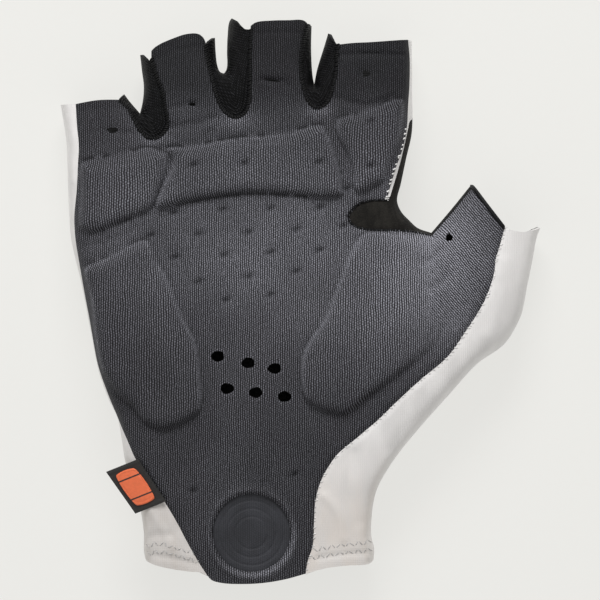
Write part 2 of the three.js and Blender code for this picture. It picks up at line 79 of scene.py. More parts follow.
# Width of one of its pixels on the glove, in mm
PIXEL = (HIGH[0] - LOW[0]) / (PHOTO_RIGHT - PHOTO_LEFT)

# Sides of the glove seen from above, in pixels of the photograph
OUTER_SIDE = [
    (145.4, 559.4), (143.9, 554), (143.4, 532), (140.8, 513.5), (133, 487), (125, 462), (121.2, 438),
    (117.4, 418.6), (108.5, 399.5), (98.3, 371), (91.3, 336), (87.4, 316), (81.7, 286), (75.3, 260),
    (70.8, 239), (68.9, 217), (67.7, 191), (67, 166), (65.7, 140), (61.3, 112), (60, 105),
]
LITTLE_INNER = [(123.8, 94.1), (129, 101), (139.7, 113.5)]
RING_OUTER = [(139.7, 113.5), (142.3, 102), (143.5, 86.7), (141.6, 71.4), (139.7, 54.8)]
RING_INNER = [(214.7, 37.6), (215.6, 53.6), (217.3, 66), (220, 72), (223.8, 73.4)]
MIDDLE_OUTER = [(223.8, 73.4), (226.2, 70), (226.8, 51), (227.4, 35.7), (229.6, 20.4), (231.6, 18.1)]
MIDDLE_INNER = [(311.6, 26), (311.2, 51), (312.9, 78), (314.2, 84.2)]
INDEX_OUTER = [(314.2, 84.2), (315.2, 79), (317.3, 69), (324.4, 46), (328.2, 33.2)]
INDEX_INNER = [
    (412, 41), (412.3, 90), (412, 133), (406.5, 158), (401, 184), (397.3, 200.6), (401, 211), (409.6, 220.5),
    (418, 228), (431.6, 232.8),
]
THUMB_INDEX_SIDE = [(431.6, 232.8), (452.5, 208.3), (471.2, 185.2)]
INNER_SIDE = [
    (541, 228), (537.8, 236), (532.7, 262), (527.6, 287), (522.4, 313), (517.3, 325), (505, 344),
    (478, 363.5), (450, 394), (420.5, 427), (401, 450.5), (388.4, 468.4), (379.4, 484), (375, 496),
    (372.2, 513), (371.5, 537), (374.3, 548), (373.6, 560),
]

# How the tubes would run on past their mouths
PAST_LITTLE = [[(60, 105), (57, 60), (57, 5)], [(122, 5), (123.8, 94.1)]]
PAST_RING = [[(139.7, 54.8), (138, 5)], [(214, 5), (214.7, 37.6)]]
PAST_MIDDLE = [[(231.6, 18.1), (232, 5)], [(311.6, 5), (311.6, 26)]]
PAST_INDEX = [[(328.2, 33.2), (331, 5)], [(412, 5), (412, 41)]]
PAST_THUMB = [[(471.2, 185.2), (505, 143.5)], [(548, 190), (541, 228)]]
PAST_CUFF = [[(373.6, 560), (374, 590)], [(146, 590), (145.4, 559.4)]]

# Mouths of the upper sheet: palm edges between the peaks of the strips
LITTLE_MOUTH = [
    [(60, 105), (76.3, 105)], [(76.3, 105), (98, 101.4), (121.2, 100.8)], [(121.2, 100.8), (123.8, 94.1)],
]
RING_MOUTH = [
    [(139.7, 54.8), (149.9, 61.9), (151.8, 60.5)], [(151.8, 60.5), (151.8, 52.3)],
    [(151.8, 52.3), (155.7, 48.5), (174.8, 39.5), (187.6, 35.5), (199, 35.5), (204, 39.5), (206.7, 46)],
    [(206.7, 46), (214.7, 37.6)],
]
MIDDLE_MOUTH = [
    [(231.6, 18.1), (238.3, 25.5), (245.3, 30.6), (250.6, 31)], [(250.6, 31), (251, 27.4)],
    [(251, 27.4), (256, 24.2), (271, 22.4), (289, 21.9), (303.3, 21.7), (306.5, 23.6), (308.4, 26)],
    [(308.4, 26), (311.6, 26)],
]
INDEX_MOUTH = [
    [(328.2, 33.2), (332.7, 42), (337, 46.2)], [(337, 46.2), (353, 44.6), (370, 43.8), (408, 40.7)],
    [(408, 40.7), (412, 41)],
]
THUMB_MOUTH = [
    [(471.2, 185.2), (483, 202), (503.6, 229)], [(503.6, 229), (510.6, 230.5), (524.4, 232.3), (541, 228)],
]
PALM_HEM = [
    (305.6, 571.4), (285, 577), (264, 580.5), (243, 581.6), (222, 580.5), (212.3, 577.7), (208, 573.5),
]
CUFF_EDGE = [
    [(373.6, 560), (368, 562.3), (348, 563.4), (327, 565.8), (305.6, 571.4)], PALM_HEM,
    [(208, 573.5), (200, 570), (191.8, 569.6), (157, 563.5), (145.4, 559.4)],
]

# Mouths of the lower sheet, which is the back panel
LITTLE_BACK = [(60, 105), (75, 107), (100, 105), (117, 104), (123.8, 94.1)]
RING_BACK = [(139.7, 54.8), (146, 64), (154, 60), (175, 45), (190, 40), (200, 41), (207, 52), (214.7, 37.6)]
MIDDLE_BACK = [(231.6, 18.1), (238, 28), (252, 31), (280, 27), (303, 27), (308, 30), (311.6, 26)]
INDEX_BACK = [(328.2, 33.2), (334, 47), (345, 50), (370, 48), (400, 46), (412, 41)]
THUMB_BACK = [(471.2, 185.2), (482, 205), (503, 233), (524, 236), (541, 228)]
CUFF_BACK = [(373.6, 560), (345, 566), (305, 572), (260, 575), (210, 572), (170, 567), (145.4, 559.4)]

# Edge of the palm panel, in smooth stretches between its corners
PALM_OUTER_SEAM = [
    (208, 573.5), (200, 561.4), (187.8, 540), (177.6, 520.6), (165.3, 500.2), (136.8, 458.4), (128, 439),
    (119.8, 421), (106.7, 389), (98.2, 364), (93.8, 342), (89.8, 318), (85.5, 296), (81, 269), (75.9, 235),
    (75.3, 217), (77.9, 189), (79.1, 163), (79.8, 146.7), (77.9, 127.6), (76.3, 105),
]
PALM_LITTLE_RING = [
    (121.2, 100.8), (129, 108), (135, 118.6), (143, 132.7), (149, 137.8), (155.7, 138.8), (164.6, 132.7),
    (167.8, 125), (165.9, 112), (162, 92), (157, 79), (151.8, 60.5),
]
PALM_RING_MIDDLE = [
    (206.7, 46), (208, 56), (212.8, 76.5), (219, 99.5), (225.5, 112), (236.4, 118), (244.6, 113.5),
    (248.5, 102), (249.1, 89), (249.5, 57), (250.6, 31),
]
PALM_MIDDLE_INDEX = [
    (308.4, 26), (305.2, 35.7), (302.7, 51), (302, 74), (304.6, 89), (308.4, 101), (315.4, 108.2),
    (321.2, 107.8), (327.6, 101), (332, 86.7), (335.2, 70), (336, 56), (337, 46.2),
]
PALM_INDEX_SEAM = [
    (408, 40.7), (409.6, 58), (409.3, 86), (408, 104), (406.5, 129), (402.5, 149), (396, 167), (390.5, 185),
    (386, 201.5),
]
LENS_TOP = [(386, 201.5), (371.3, 202), (357.6, 206), (348.4, 217.5)]
LENS_BOTTOM = [(348.4, 217.5), (353, 225), (365, 229), (391, 230), (414, 231.5), (431.8, 235.5)]
PALM_THUMB_SEAM = [(431.8, 235.5), (453.5, 211), (472.5, 187)]
PALM_INNER_SEAM = [
    (503.6, 229), (499.5, 244.5), (494.9, 259.8), (493.4, 272), (489.8, 285.3), (483.7, 300.6), (475.5, 315),
    (466.3, 329), (447, 356), (420, 379), (396, 401), (379.4, 417.3), (353.9, 439), (337.3, 453),
    (327.3, 467), (320.3, 481), (315.4, 499), (314, 520), (312.6, 544), (307.7, 559.4), (305.6, 571.4),
]
GUSSET_STRIP_EDGE = [
    (412.1, 119.5), (409.6, 122), (407.6, 130), (403.6, 148), (400.2, 162), (394.3, 182), (388.4, 201),
]

# Rough fields that tell which panel a place outside the palm belongs to
GUSSET_FIELD = [
    (412.5, 118.5), (409.6, 122), (407.6, 130), (403.6, 148), (400.2, 162), (394.3, 182), (387, 202),
    (340, 198), (340, 236), (431, 243), (460, 215), (486, 196), (470, 160), (430, 170), (430, 118),
]
STRIP_FIELDS = {
    "fourchette_little_ring": [
        (117, 88), (124, 84), (136, 45), (152, 48), (175, 70), (175, 130), (150, 145), (117, 112),
    ],
    "fourchette_ring_middle": [(204, 36), (213, 28), (231, 8), (252, 20), (254, 125), (215, 125), (198, 60)],
    "fourchette_middle_index": [(307, 18), (330, 22), (340, 44), (340, 112), (300, 114), (296, 60)],
}

# Corners of the field that the filled form is solved on, in pixels of the photograph
FIELD_LOW, FIELD_HIGH = (40, 589), (565, 6)

# Steps of the solve's grid in mm, and the rounds at each
SOLVE_ROUNDS = {4.0: 700, 2.0: 160, 1.0: 160, 0.5: 160}

# Height of the widest line on a thin tube, how much higher it lies on a wide one, and how wide that is, in mm
WAIST_LOW, WAIST_MORE, WAIST_REACH = 5.6, 5.4, 13

# How far inside the sides rows of points follow them, in mm. The last two rows have half as many points
SIDE_ROWS = (0.13, 0.25, 0.46, 0.78, 1.2, 1.7)

# Raised pads of the palm, in pixels of the photograph
PADS = {
    "little": [
        (82, 163), (102, 158), (124, 155), (147, 148), (166, 153), (168, 168), (161, 191), (152, 210),
        (141.6, 215.7), (124, 222), (106, 230), (90, 234), (81, 228), (81, 190),
    ],
    "ring_middle": [
        (167, 150), (194, 146.4), (213, 142.6), (232, 139), (257, 136.5), (289, 133.3), (308, 127.6),
        (322, 126), (331, 143), (338.6, 164.6), (343, 184), (342, 197), (328, 199.7), (296, 196.5),
        (251, 194.6), (225.8, 197), (187.6, 203.5), (157, 210), (156, 203), (166, 180), (173, 162),
    ],
    "index": [
        (338, 119.5), (353, 115), (368, 110.3), (391, 101), (402, 99), (403, 127), (398, 146), (390, 163),
        (381, 184), (373, 188), (359, 195), (353.5, 190), (352.7, 173.6), (347.6, 157), (338.6, 141.7),
        (335, 128),
    ],
    "outer_heel": [
        (85, 268), (102, 259.7), (124, 249), (139, 241), (148, 240), (155.7, 259), (168.4, 275.6),
        (174.8, 292), (183.7, 316), (197, 341), (202, 375), (201, 410), (181, 423.7), (162, 428.8),
        (146.7, 422.4), (135.3, 408.4), (123.8, 398), (111, 384), (101, 368), (95, 340), (91, 300),
    ],
    "thumb_ball": [
        (364, 233), (352.7, 245), (342.4, 270.5), (334.8, 289.6), (323.3, 319), (314.4, 331), (303, 351),
        (300, 376.5), (305, 398), (314.4, 407), (328.4, 412), (342.4, 414), (354, 408), (366.7, 397),
        (395, 376), (425, 352), (448, 328), (466, 300), (476, 268), (474, 244), (450, 238), (431, 236),
        (400, 233.5),
    ],
}

# Pads that run out sideways, between two places across the photograph
PAD_FADES = {"thumb_ball": (395, 452)}

# For each pad: how far its flanks run out in mm, how bright the painted highlights on their ridges are and
# how dark the painted shadow at its foot is
PAD_FLANKS = {
    "little": (2.8, 0.3, 0.72), "ring_middle": (1.5, 0.7, 0.74), "index": (2.0, 0.5, 0.5),
    "outer_heel": (1.3, 0.75, 0.5), "thumb_ball": (1.3, 0.9, 0.52),
}

# Marks pressed into the palm, in pixels of the photograph. Depths and widths are in mm
DIMPLES = [
    (174.8, 213), (223, 210.6), (271, 209.5), (320, 208), (152, 236), (200, 235), (249, 233), (296.5, 230),
    (343.7, 226.5), (176, 258), (225, 255.5), (271, 253), (319.5, 251), (200, 282), (249, 277), (296.5, 272),
    (227, 300), (271, 295), (195, 166), (245, 164.5), (319.5, 163.4), (370.5, 122.6), (370.5, 167),
    (347.6, 189.5), (194, 489), (294.4, 473),
]
CREASES = [
    {"line": [(168.4, 129), (194, 125.6), (218, 119)], "depth": 0.6, "width": 1.1},
    {"line": [(331, 97), (343, 102), (364, 106.5), (392, 99)], "depth": 0.6, "width": 1.1},
    {"line": [(171, 109), (182, 107), (193, 106)], "depth": 0.4, "width": 0.8},
    {"line": [(262.5, 80.4), (281.6, 83.5), (289, 87.4)], "depth": 0.5, "width": 0.8},
    {"line": [(336, 56.5), (370, 55.5), (407, 56.5)], "depth": 0.6, "width": 0.6},
    {"line": [(80, 113), (100, 110), (120, 109.5)], "depth": 0.25, "width": 0.6},
    {"line": [(258, 36), (280, 34), (302, 35)], "depth": 0.25, "width": 0.6},
    {"line": [(158, 60), (176, 51.5), (200, 48)], "depth": 0.25, "width": 0.6},
    {"line": [(150, 262), (143, 300), (146, 350), (158, 405)], "depth": 0.3, "width": 1.6},
    {"line": [(113, 132), (122, 135), (131, 134)], "depth": 0.35, "width": 0.7},
    {"line": [(224, 122), (214, 131), (207, 138)], "depth": 0.35, "width": 1.0},
    {"line": [(316, 111), (318, 119), (324, 125)], "depth": 0.4, "width": 1.0},
    {"line": [(152, 142), (158, 148), (170, 150)], "depth": 0.5, "width": 1.0},
    {"line": [(82, 248), (110, 242), (138, 229)], "depth": 0.35, "width": 1.2},
    {"line": [(420, 262), (432, 258), (440, 250)], "depth": 0.4, "width": 1.2},
    {"line": [(430, 288), (440, 283), (450, 274)], "depth": 0.4, "width": 1.2},
]

# Folds of the loose cloth: how high each stands, or how deep it lies below zero, and how wide it is, in mm
FOLDS = [
    {"line": [(325, 495), (338, 512), (343, 536)], "rise": 0.5, "width": 1.5},
    {"line": [(352, 452), (349, 490), (358, 520)], "rise": -0.45, "width": 1.9},
    {"line": [(150, 508), (163, 527), (172, 545)], "rise": 0.45, "width": 1.4},
    {"line": [(143, 540), (155, 534), (170, 533)], "rise": -0.4, "width": 1.3},
    {"line": [(318, 556), (345, 552), (371, 551)], "rise": -0.35, "width": 0.9},
    {"line": [(146, 552), (170, 556), (200, 562)], "rise": -0.35, "width": 0.9},
    {"line": [(440, 410), (410, 425), (392, 448)], "rise": -0.4, "width": 2.2},
    {"line": [(505, 262), (500, 300), (488, 335)], "rise": 0.3, "width": 1.8},
]

# Holes in the palm: the vents and the small ones, with their spans in pixels and their turn in degrees
VENTS = [(218.3, 355.8), (248.5, 362.4), (274.8, 367.8), (227.6, 387.7), (256, 391.7), (284.7, 395.7)]
VENT_SPAN = (13.4, 10.8)
PINHOLES = [
    {"at": (113.6, 131.4), "span": (12, 6)}, {"at": (193.3, 105.9), "span": (7.6, 3.8)},
    {"at": (272, 82), "span": (17, 2.6), "turn": -9}, {"at": (365.8, 75.2), "span": (9, 7)},
    {"at": (448.3, 237.7), "span": (7.6, 8.7)},
]

# Painted light and shade on the knit: places where it is paler or, below zero, darker than elsewhere, and how
# far that reaches in mm
PAINTED_LIGHT_SPOTS = [
    {"at": (268, 240), "reach": (36, 27), "paler": 0.62},
    {"at": (438, 250), "reach": (14, 21), "paler": 1.45},
    {"at": (385, 305), "reach": (24, 26), "paler": 0.3},
    {"at": (120, 220), "reach": (14, 26), "paler": 0.2},
    {"at": (250, 390), "reach": (20, 30), "paler": 0.12},
    {"at": (157, 143), "reach": (5, 2.4), "paler": 0.4},
    {"at": (237, 122), "reach": (5, 2.2), "paler": 0.45},
    {"at": (319, 112), "reach": (4, 2.2), "paler": 0.45},
    {"at": (210, 500), "reach": (9, 14), "paler": 0.12},
    {"at": (98, 128), "reach": (9, 8), "paler": -0.12},
]

# Middle and radius of the heel disc, and corners of the label tab, in pixels of the photograph
DISC_AT = (251.8, 531)
DISC_REACH = 38.5
LABEL_CORNERS = [(137.2, 458.4), (165.3, 500.2), (136.2, 512.2), (107.1, 470.6)]

# The tab as it shows, along its seam and out from it, and the patch on it with its rounded corners, in mm
TAB_LENGTH, TAB_DEPTH = 14.6, 9.4
PATCH_LENGTH, PATCH_WIDTH, PATCH_CORNER = 11.4, 7.0, 1.7

# Rings of points from the patch's middle to its edge, as shares of its reach
PATCH_RINGS = (0.03, 0.2, 0.35, 0.5, 0.62, 0.72, 0.8, 0.86, 0.9, 0.94, 0.97, 1.0)

# Thickness of the tab, of the patch and of the disc, in mm
TAPE_CLOTH, PATCH_CLOTH, DISC_CLOTH = 0.8, 0.45, 0.6

# Colours of the threads
BLACK_THREAD = (0.005, 0.005, 0.0055)
WHITE_THREAD = (0.78, 0.77, 0.76)
GREY_THREAD = (0.5, 0.49, 0.48)

# Width of one column of the palm's knit, in mm
KNIT_PITCH = 0.63

# Stitches of the cuff, in rows of zigzags, in pixels of the photograph
CUFF_ROWS = [
    [(146, 545), (160, 541.5), (176, 546), (196, 551)], [(147, 552), (162, 550), (180, 554), (200, 560)],
    [(313, 548), (330, 545), (350, 542), (372, 540)], [(311, 556), (330, 553), (350, 550), (372, 548)],
]

# Sides of the gaps between the fingers, where the strips turn under to meet the back, and how far they turn
LOWER_GAPS = {
    "fourchette_little_ring": [LITTLE_INNER, RING_OUTER],
    "fourchette_ring_middle": [RING_INNER, MIDDLE_OUTER],
    "fourchette_middle_index": [MIDDLE_INNER, INDEX_OUTER],
    "thumb_gusset": [[(412.2, 123.5), *INDEX_INNER[2:]], THUMB_INDEX_SIDE],
}
STRIP_TURN = 1.5

# How close to a side the cloth already counts as lying on it, in mm
SEAM_REACH = 0.08

# Each cloth as it was cut, before sewing: width, length and area in metres
STRIP_CUTS = {
    "fourchette_little_ring": (0.022, 0.05, 0.0006),
    "fourchette_ring_middle": (0.022, 0.07, 0.00075),
    "fourchette_middle_index": (0.022, 0.05, 0.00075),
}


class GloveForm(bpy.types.PropertyGroup):
    """Sizes of the sewn glove."""

    thickness: bpy.props.FloatProperty(
        name="Rise of the palm", description="Height of the palm over the widest line",
        unit="LENGTH", subtype="DISTANCE", default=0.0132)
    spread: bpy.props.FloatProperty(
        name="Drop of the back", description="Depth of the back under the widest line before it lies flat",
        unit="LENGTH", subtype="DISTANCE", default=0.0145)
    pad_rise: bpy.props.FloatProperty(
        name="Pad rise", description="Height of the raised pads over the palm",
        unit="LENGTH", subtype="DISTANCE", default=0.0023)
    palm_cloth: bpy.props.FloatProperty(
        name="Palm cloth", description="Thickness of the padded palm cloth",
        unit="LENGTH", subtype="DISTANCE", default=0.0017)
    back_cloth: bpy.props.FloatProperty(
        name="Back cloth", description="Thickness of the stretch back",
        unit="LENGTH", subtype="DISTANCE", default=0.0009)
    strip_cloth: bpy.props.FloatProperty(
        name="Strip cloth", description="Thickness of the strips between the fingers",
        unit="LENGTH", subtype="DISTANCE", default=0.0009)
    mesh_step: bpy.props.FloatProperty(
        name="Mesh step", description="Distance between the points of a panel",
        unit="LENGTH", subtype="DISTANCE", default=0.00066)


class GloveColours(bpy.types.PropertyGroup):
    """Colours of the cloths and threads."""

    palm: bpy.props.FloatVectorProperty(
        name="Palm", description="Mean colour of the palm knit", subtype="COLOR", size=3,
        default=(0.083, 0.082, 0.092))
    palm_light: bpy.props.FloatVectorProperty(
        name="Palm ribs", description="Colour of the knit's raised stitches", subtype="COLOR", size=3,
        default=(0.43, 0.43, 0.485))
    back: bpy.props.FloatVectorProperty(
        name="Back", description="Colour of the satin stretch back", subtype="COLOR", size=3,
        default=(0.83, 0.81, 0.8))
    mesh: bpy.props.FloatVectorProperty(
        name="Mesh", description="Colour of the mesh strips", subtype="COLOR", size=3,
        default=(0.008, 0.008, 0.009))
    suede: bpy.props.FloatVectorProperty(
        name="Suede", description="Colour of the thumb gusset", subtype="COLOR", size=3,
        default=(0.024, 0.022, 0.019))
    disc: bpy.props.FloatVectorProperty(
        name="Disc", description="Colour of the heel disc", subtype="COLOR", size=3,
        default=(0.03, 0.031, 0.037))
    tape: bpy.props.FloatVectorProperty(
        name="Tape", description="Colour of the label tape", subtype="COLOR", size=3,
        default=(0.014, 0.013, 0.012))
    patch: bpy.props.FloatVectorProperty(
        name="Patch", description="Colour of the label patch", subtype="COLOR", size=3,
        default=(1.0, 0.2, 0.07))
    floor: bpy.props.FloatVectorProperty(
        name="Floor", description="Colour of the floor", subtype="COLOR", size=3,
        default=(0.84, 0.835, 0.805))


# Flat geometry

def on_glove(pixels):
    """Places in the photograph laid on the glove's plan, in millimetres."""
    points = np.asarray(pixels, float).reshape(-1, 2)
    x = LOW[0] + (points[:, 0] - PHOTO_LEFT) * (HIGH[0] - LOW[0]) / (PHOTO_RIGHT - PHOTO_LEFT)
    y = HIGH[1] - (points[:, 1] - PHOTO_TOP) * (HIGH[1] - LOW[1]) / (PHOTO_BOTTOM - PHOTO_TOP)
    return np.stack([x, y], 1)


def resampled(points, step):
    """The same line with points evenly spaced along it."""
    leg = np.linalg.norm(np.diff(points, axis=0), axis=1)
    far = np.concatenate([[0], np.cumsum(leg)])
    count = max(int(round(far[-1] / step)), 1)
    at = np.linspace(0, far[-1], count + 1)
    return np.stack([np.interp(at, far, points[:, 0]), np.interp(at, far, points[:, 1])], 1)


def directions(line):
    """Unit steps along a line, and across it to its right."""
    along = np.gradient(line, axis=0)
    along /= np.linalg.norm(along, axis=1)[:, None]
    return along, np.stack([along[:, 1], -along[:, 0]], 1)


def smooth_line(pixels, step, closed=False):
    """A smooth curve through places in the photograph, as evenly spaced points in millimetres."""
    p = on_glove(pixels)
    if closed:
        p = np.concatenate([p[-1:], p, p[:2]])
    elif len(p) > 2:
        p = np.concatenate([2 * p[:1] - p[1:2], p, 2 * p[-1:] - p[-2:-1]])
    else:
        return resampled(p, step)
    t = np.linspace(0, 1, 12, endpoint=False)[:, None]
    pieces = []
    for a, b, c, d in zip(p[:-3], p[1:-2], p[2:-1], p[3:]):
        near = max(np.linalg.norm(c - b), 1e-6)
        before = max(np.linalg.norm(b - a), 1e-6)
        after = max(np.linalg.norm(d - c), 1e-6)
        start = ((b - a) / before * near + (c - b)) / 2
        end = ((d - c) / after * near + (c - b)) / 2
        t2 = t * t
        t3 = t2 * t
        pieces.append(
            (2 * t3 - 3 * t2 + 1) * b + (t3 - 2 * t2 + t) * start + (3 * t2 - 2 * t3) * c + (t3 - t2) * end)
    pieces.append(p[-2:-1])
    return resampled(np.concatenate(pieces), step)


def joined(lines):
    """Lines that follow each other, as one closed outline with no point twice."""
    points = np.concatenate(lines)
    keep = np.linalg.norm(points - np.roll(points, 1, axis=0), axis=1) > 1e-3
    return points[keep]


def inside(points, outline):
    """Which points lie inside a closed outline."""
    found = np.zeros(len(points), bool)
    x = points[:, 0]
    y = points[:, 1]
    for (x0, y0), (x1, y1) in zip(outline, np.roll(outline, -1, axis=0)):
        if y0 == y1:
            continue
        crosses = (y0 > y) != (y1 > y)
        found ^= crosses & (x < (x1 - x0) * (y - y0) / (y1 - y0) + x0)
    return found


def nearest(points, line):
    """Distance from each point to a line, and how far it lies above: 1 straight above, -1 straight below."""
    best = np.full(len(points), 1e9)
    upward = np.zeros(len(points))
    for a, b in zip(line[:-1], line[1:]):
        ab = b - a
        length2 = ab @ ab
        if length2 < 1e-12:
            continue
        t = np.clip(((points - a) @ ab) / length2, 0, 1)
        off = points - a - t[:, None] * ab
        gap = np.einsum("ij,ij->i", off, off)
        closer = gap < best
        best[closer] = gap[closer]
        upward[closer] = abs(ab[0]) / math.sqrt(length2) * np.sign(off[closer, 1] + 1e-12)
    return np.sqrt(best), upward


def distance(points, lines):
    """Distance from each point to the nearest of several lines."""
    best = np.full(len(points), 1e9)
    for line in lines:
        best = np.minimum(best, nearest(points, line)[0])
    return best


def eased(value):
    """A soft step from 0 at 0 to 1 at 1."""
    value = np.clip(value, 0, 1)
    return value * value * (3 - 2 * value)


def bell(away, width):
    """A bell-shaped ridge: 1 on its line and soon nothing beyond its width."""
    return np.exp(-((away / width) ** 2))


def levelled(arc, limit):
    """A round height that levels out towards a limit."""
    return arc / (1 + (arc / limit) ** 3) ** (1 / 3)


class Body:
    """The rounded form that the cloth takes, like a cushion filled over the glove's plan."""

    def __init__(self, form):
        self.form = form
        sides = [
            OUTER_SIDE, *PAST_LITTLE, LITTLE_INNER, RING_OUTER, *PAST_RING, RING_INNER, MIDDLE_OUTER,
            *PAST_MIDDLE, MIDDLE_INNER, INDEX_OUTER, *PAST_INDEX, INDEX_INNER, THUMB_INDEX_SIDE, *PAST_THUMB,
            INNER_SIDE, *PAST_CUFF,
        ]
        self.lines = [smooth_line(side, 1.2) for side in sides]
        self.outline = joined(self.lines)
        self.solve()

    def solve(self):
        """Solves the shape of a membrane blown up over the plan, from coarse to fine."""
        low, high = on_glove([FIELD_LOW, FIELD_HIGH])
        over_relaxed = 1.6
        filled = None
        for step, rounds in SOLVE_ROUNDS.items():
            xs = np.arange(low[0], high[0] + step, step)
            ys = np.arange(low[1], high[1] + step, step)
            grid = np.stack(np.meshgrid(xs, ys), -1).reshape(-1, 2)
            within = inside(grid, self.outline).reshape(len(ys), len(xs))
            if filled is None:
                filled = np.zeros(within.shape)
            else:
                filled = self.sample(filled, grid).reshape(within.shape)
            self.xs, self.ys, self.step = xs, ys, step
            odd = (np.add.outer(np.arange(len(ys)), np.arange(len(xs))) % 2).astype(bool)
            for _ in range(rounds):
                for colour in (odd, ~odd):
                    around = np.pad(filled, 1, mode="edge")
                    beside = around[:-2, 1:-1] + around[2:, 1:-1] + around[1:-1, :-2] + around[1:-1, 2:]
                    target = beside / 4 + step * step / 4
                    change = within & colour
                    filled[change] += over_relaxed * (target - filled)[change]
                filled[~within] = 0
        self.filled = filled

    def sample(self, field, points):
        """Values of a field on the solve's grid, read between its points."""
        fx = np.clip((points[:, 0] - self.xs[0]) / self.step, 0, len(self.xs) - 1.001)
        fy = np.clip((points[:, 1] - self.ys[0]) / self.step, 0, len(self.ys) - 1.001)
        ix = fx.astype(int)
        iy = fy.astype(int)
        tx = fx - ix
        ty = fy - iy
        return ((field[iy, ix] * (1 - tx) + field[iy, ix + 1] * tx) * (1 - ty)
                + (field[iy + 1, ix] * (1 - tx) + field[iy + 1, ix + 1] * tx) * ty)

    def uphill(self, points):
        """Unit steps in plan towards the higher side of the filled form."""
        probe = 0.7
        slope = np.zeros_like(points)
        for axis in (0, 1):
            ahead = points.copy()
            behind = points.copy()
            ahead[:, axis] += probe
            behind[:, axis] -= probe
            slope[:, axis] = self.sample(self.filled, ahead) - self.sample(self.filled, behind)
        return slope / np.maximum(np.linalg.norm(slope, axis=1), 1e-9)[:, None]

    def span(self, points):
        """For each point: half the tube's width, the height of a round section, and the gap to a side."""
        gap = np.maximum(distance(points, self.lines) - SEAM_REACH, 0)
        probe_gap = np.maximum(gap, 1.6)
        inner = points + self.uphill(points) * (probe_gap - gap)[:, None]
        membrane = np.maximum(self.sample(self.filled, inner), 0.01)
        half = np.clip(membrane / probe_gap + probe_gap / 2, 2, 60)
        near = np.maximum(gap * (2 * half - gap), 0)
        blend = eased((gap - 1.2) / 1.6)
        far = 2 * self.sample(self.filled, points)
        return half, np.sqrt(np.maximum(near * (1 - blend) + far * blend, 0)), gap

    def unrolled(self, points):
        """Where the cloth lay before it was wrapped down the sides. Its weave keeps its pitch there."""
        half, _, gap = self.span(points)
        share = np.linspace(0, 1, 25)[:, None]
        furthest = 14
        steps = gap + np.maximum(np.minimum(half, furthest) - gap, 0) * share ** 2
        height = levelled(np.sqrt(np.maximum(steps * (2 * half - steps), 0)), self.form.thickness)
        run = np.diff(steps, axis=0)
        extra = (np.hypot(run, np.diff(height, axis=0)) - run).sum(0)
        return points - self.uphill(points) * extra[:, None]

    def waist(self, half):
        """Height of the widest line of a tube."""
        return WAIST_LOW + WAIST_MORE * (1 - np.exp(-half / WAIST_REACH))

    def upper(self, points):
        """Height of the upper side, and the gap to the nearest side line."""
        half, arc, gap = self.span(points)
        return self.waist(half) + levelled(arc, self.form.thickness), gap

    def lower(self, points):
        """Height of the lower side, which lies flat on the floor with a soft bend towards it."""
        half, arc, _ = self.span(points)
        height = self.waist(half) - levelled(arc, self.form.spread)
        soft = 0.8
        return (height + np.sqrt(height * height + soft * soft)) / 2


# Relief of the palm

def pad_edges(points):
    """For each pad: its name, the points on it or close by, how far inside its edge they lie, which way the
    edge faces (1 towards the cuff, -1 towards the fingers), how much of the pad is left there, and the place
    in the pad's box, from 0 to 1 across and upwards."""
    margin = 3
    for name, outline in PADS.items():
        line = smooth_line(outline, 0.8, closed=True)
        low = line.min(0) - margin
        high = line.max(0) + margin
        close = np.flatnonzero(np.all((points > low) & (points < high), axis=1))
        gap, facing = nearest(points[close], np.concatenate([line, line[:1]]))
        within = inside(points[close], line)
        left = np.ones(len(close))
        if name in PAD_FADES:
            start, end = on_glove([(place, 0) for place in PAD_FADES[name]])[:, 0]
            left = 1 - eased((points[close, 0] - start) / (end - start))
        place = (points[close] - low) / (high - low)
        yield name, close, np.where(within, gap, -gap), facing, left, place


def pad_height(name, gap, facing, left, place):
    """Share of its full rise that a pad has at each point. It is lowest towards the fingers."""
    flank_towards_ends = 2.3
    lowest = 0.62
    share = np.clip(gap / (PAD_FLANKS[name][0] + flank_towards_ends * facing ** 2), 0, 1)
    foot = np.sqrt(1 - (1 - share) ** 2)
    soft = eased(share)
    steep = eased((facing + 0.25) / 0.7)
    wedge = lowest + (1 - lowest) * eased((1 - place[:, 1]) * 1.2)
    return (foot * steep + soft * (1 - steep)) * wedge * left


def pad_drag(points, rise):
    """How far the knit is drawn outwards where it runs down the flanks of the pads."""
    total = np.zeros_like(points)
    for name, close, gap, facing, left, place in pad_edges(points):
        total[close] -= (rise * pad_height(name, gap, facing, left, place))[:, None] * (2 * place - 1)
    return total


def pad_relief(points, rise):
    """Raised foam pads: a long soft slope towards the fingers and a steep foot towards the cuff."""
    groove_width = 2
    groove_depth = 0.35
    total = np.zeros(len(points))
    for name, close, gap, facing, left, place in pad_edges(points):
        high = rise * pad_height(name, gap, facing, left, place)
        outside = np.clip(-gap / groove_width, 0, 1)
        groove = -groove_depth * left * np.clip(facing, 0.15, 1) * (1 - outside) ** 2 * (gap < 0)
        total[close] = np.where(gap > 0, np.maximum(total[close], high), total[close] + groove)
    return total


def pressed_relief(points):
    """Dimples, creases and the hollow round each small hole."""
    dimple, dip = 0.85, 0.2
    total = -dimple * pinches(points, 1.4, 0.66) - dip * pinches(points, 3.4, 2.2)
    for crease in CREASES:
        line = smooth_line(crease["line"], 1.0)
        away, _ = nearest(points, line)
        total -= crease["depth"] * bell(away, crease["width"])
    hollow, reach = 0.5, 0.9
    for hole in PINHOLES:
        centre = on_glove([hole["at"]])[0]
        away = np.linalg.norm((points - centre) / (np.array(hole["span"]) * PIXEL), axis=1)
        total -= hollow * bell(away, reach)
    return total


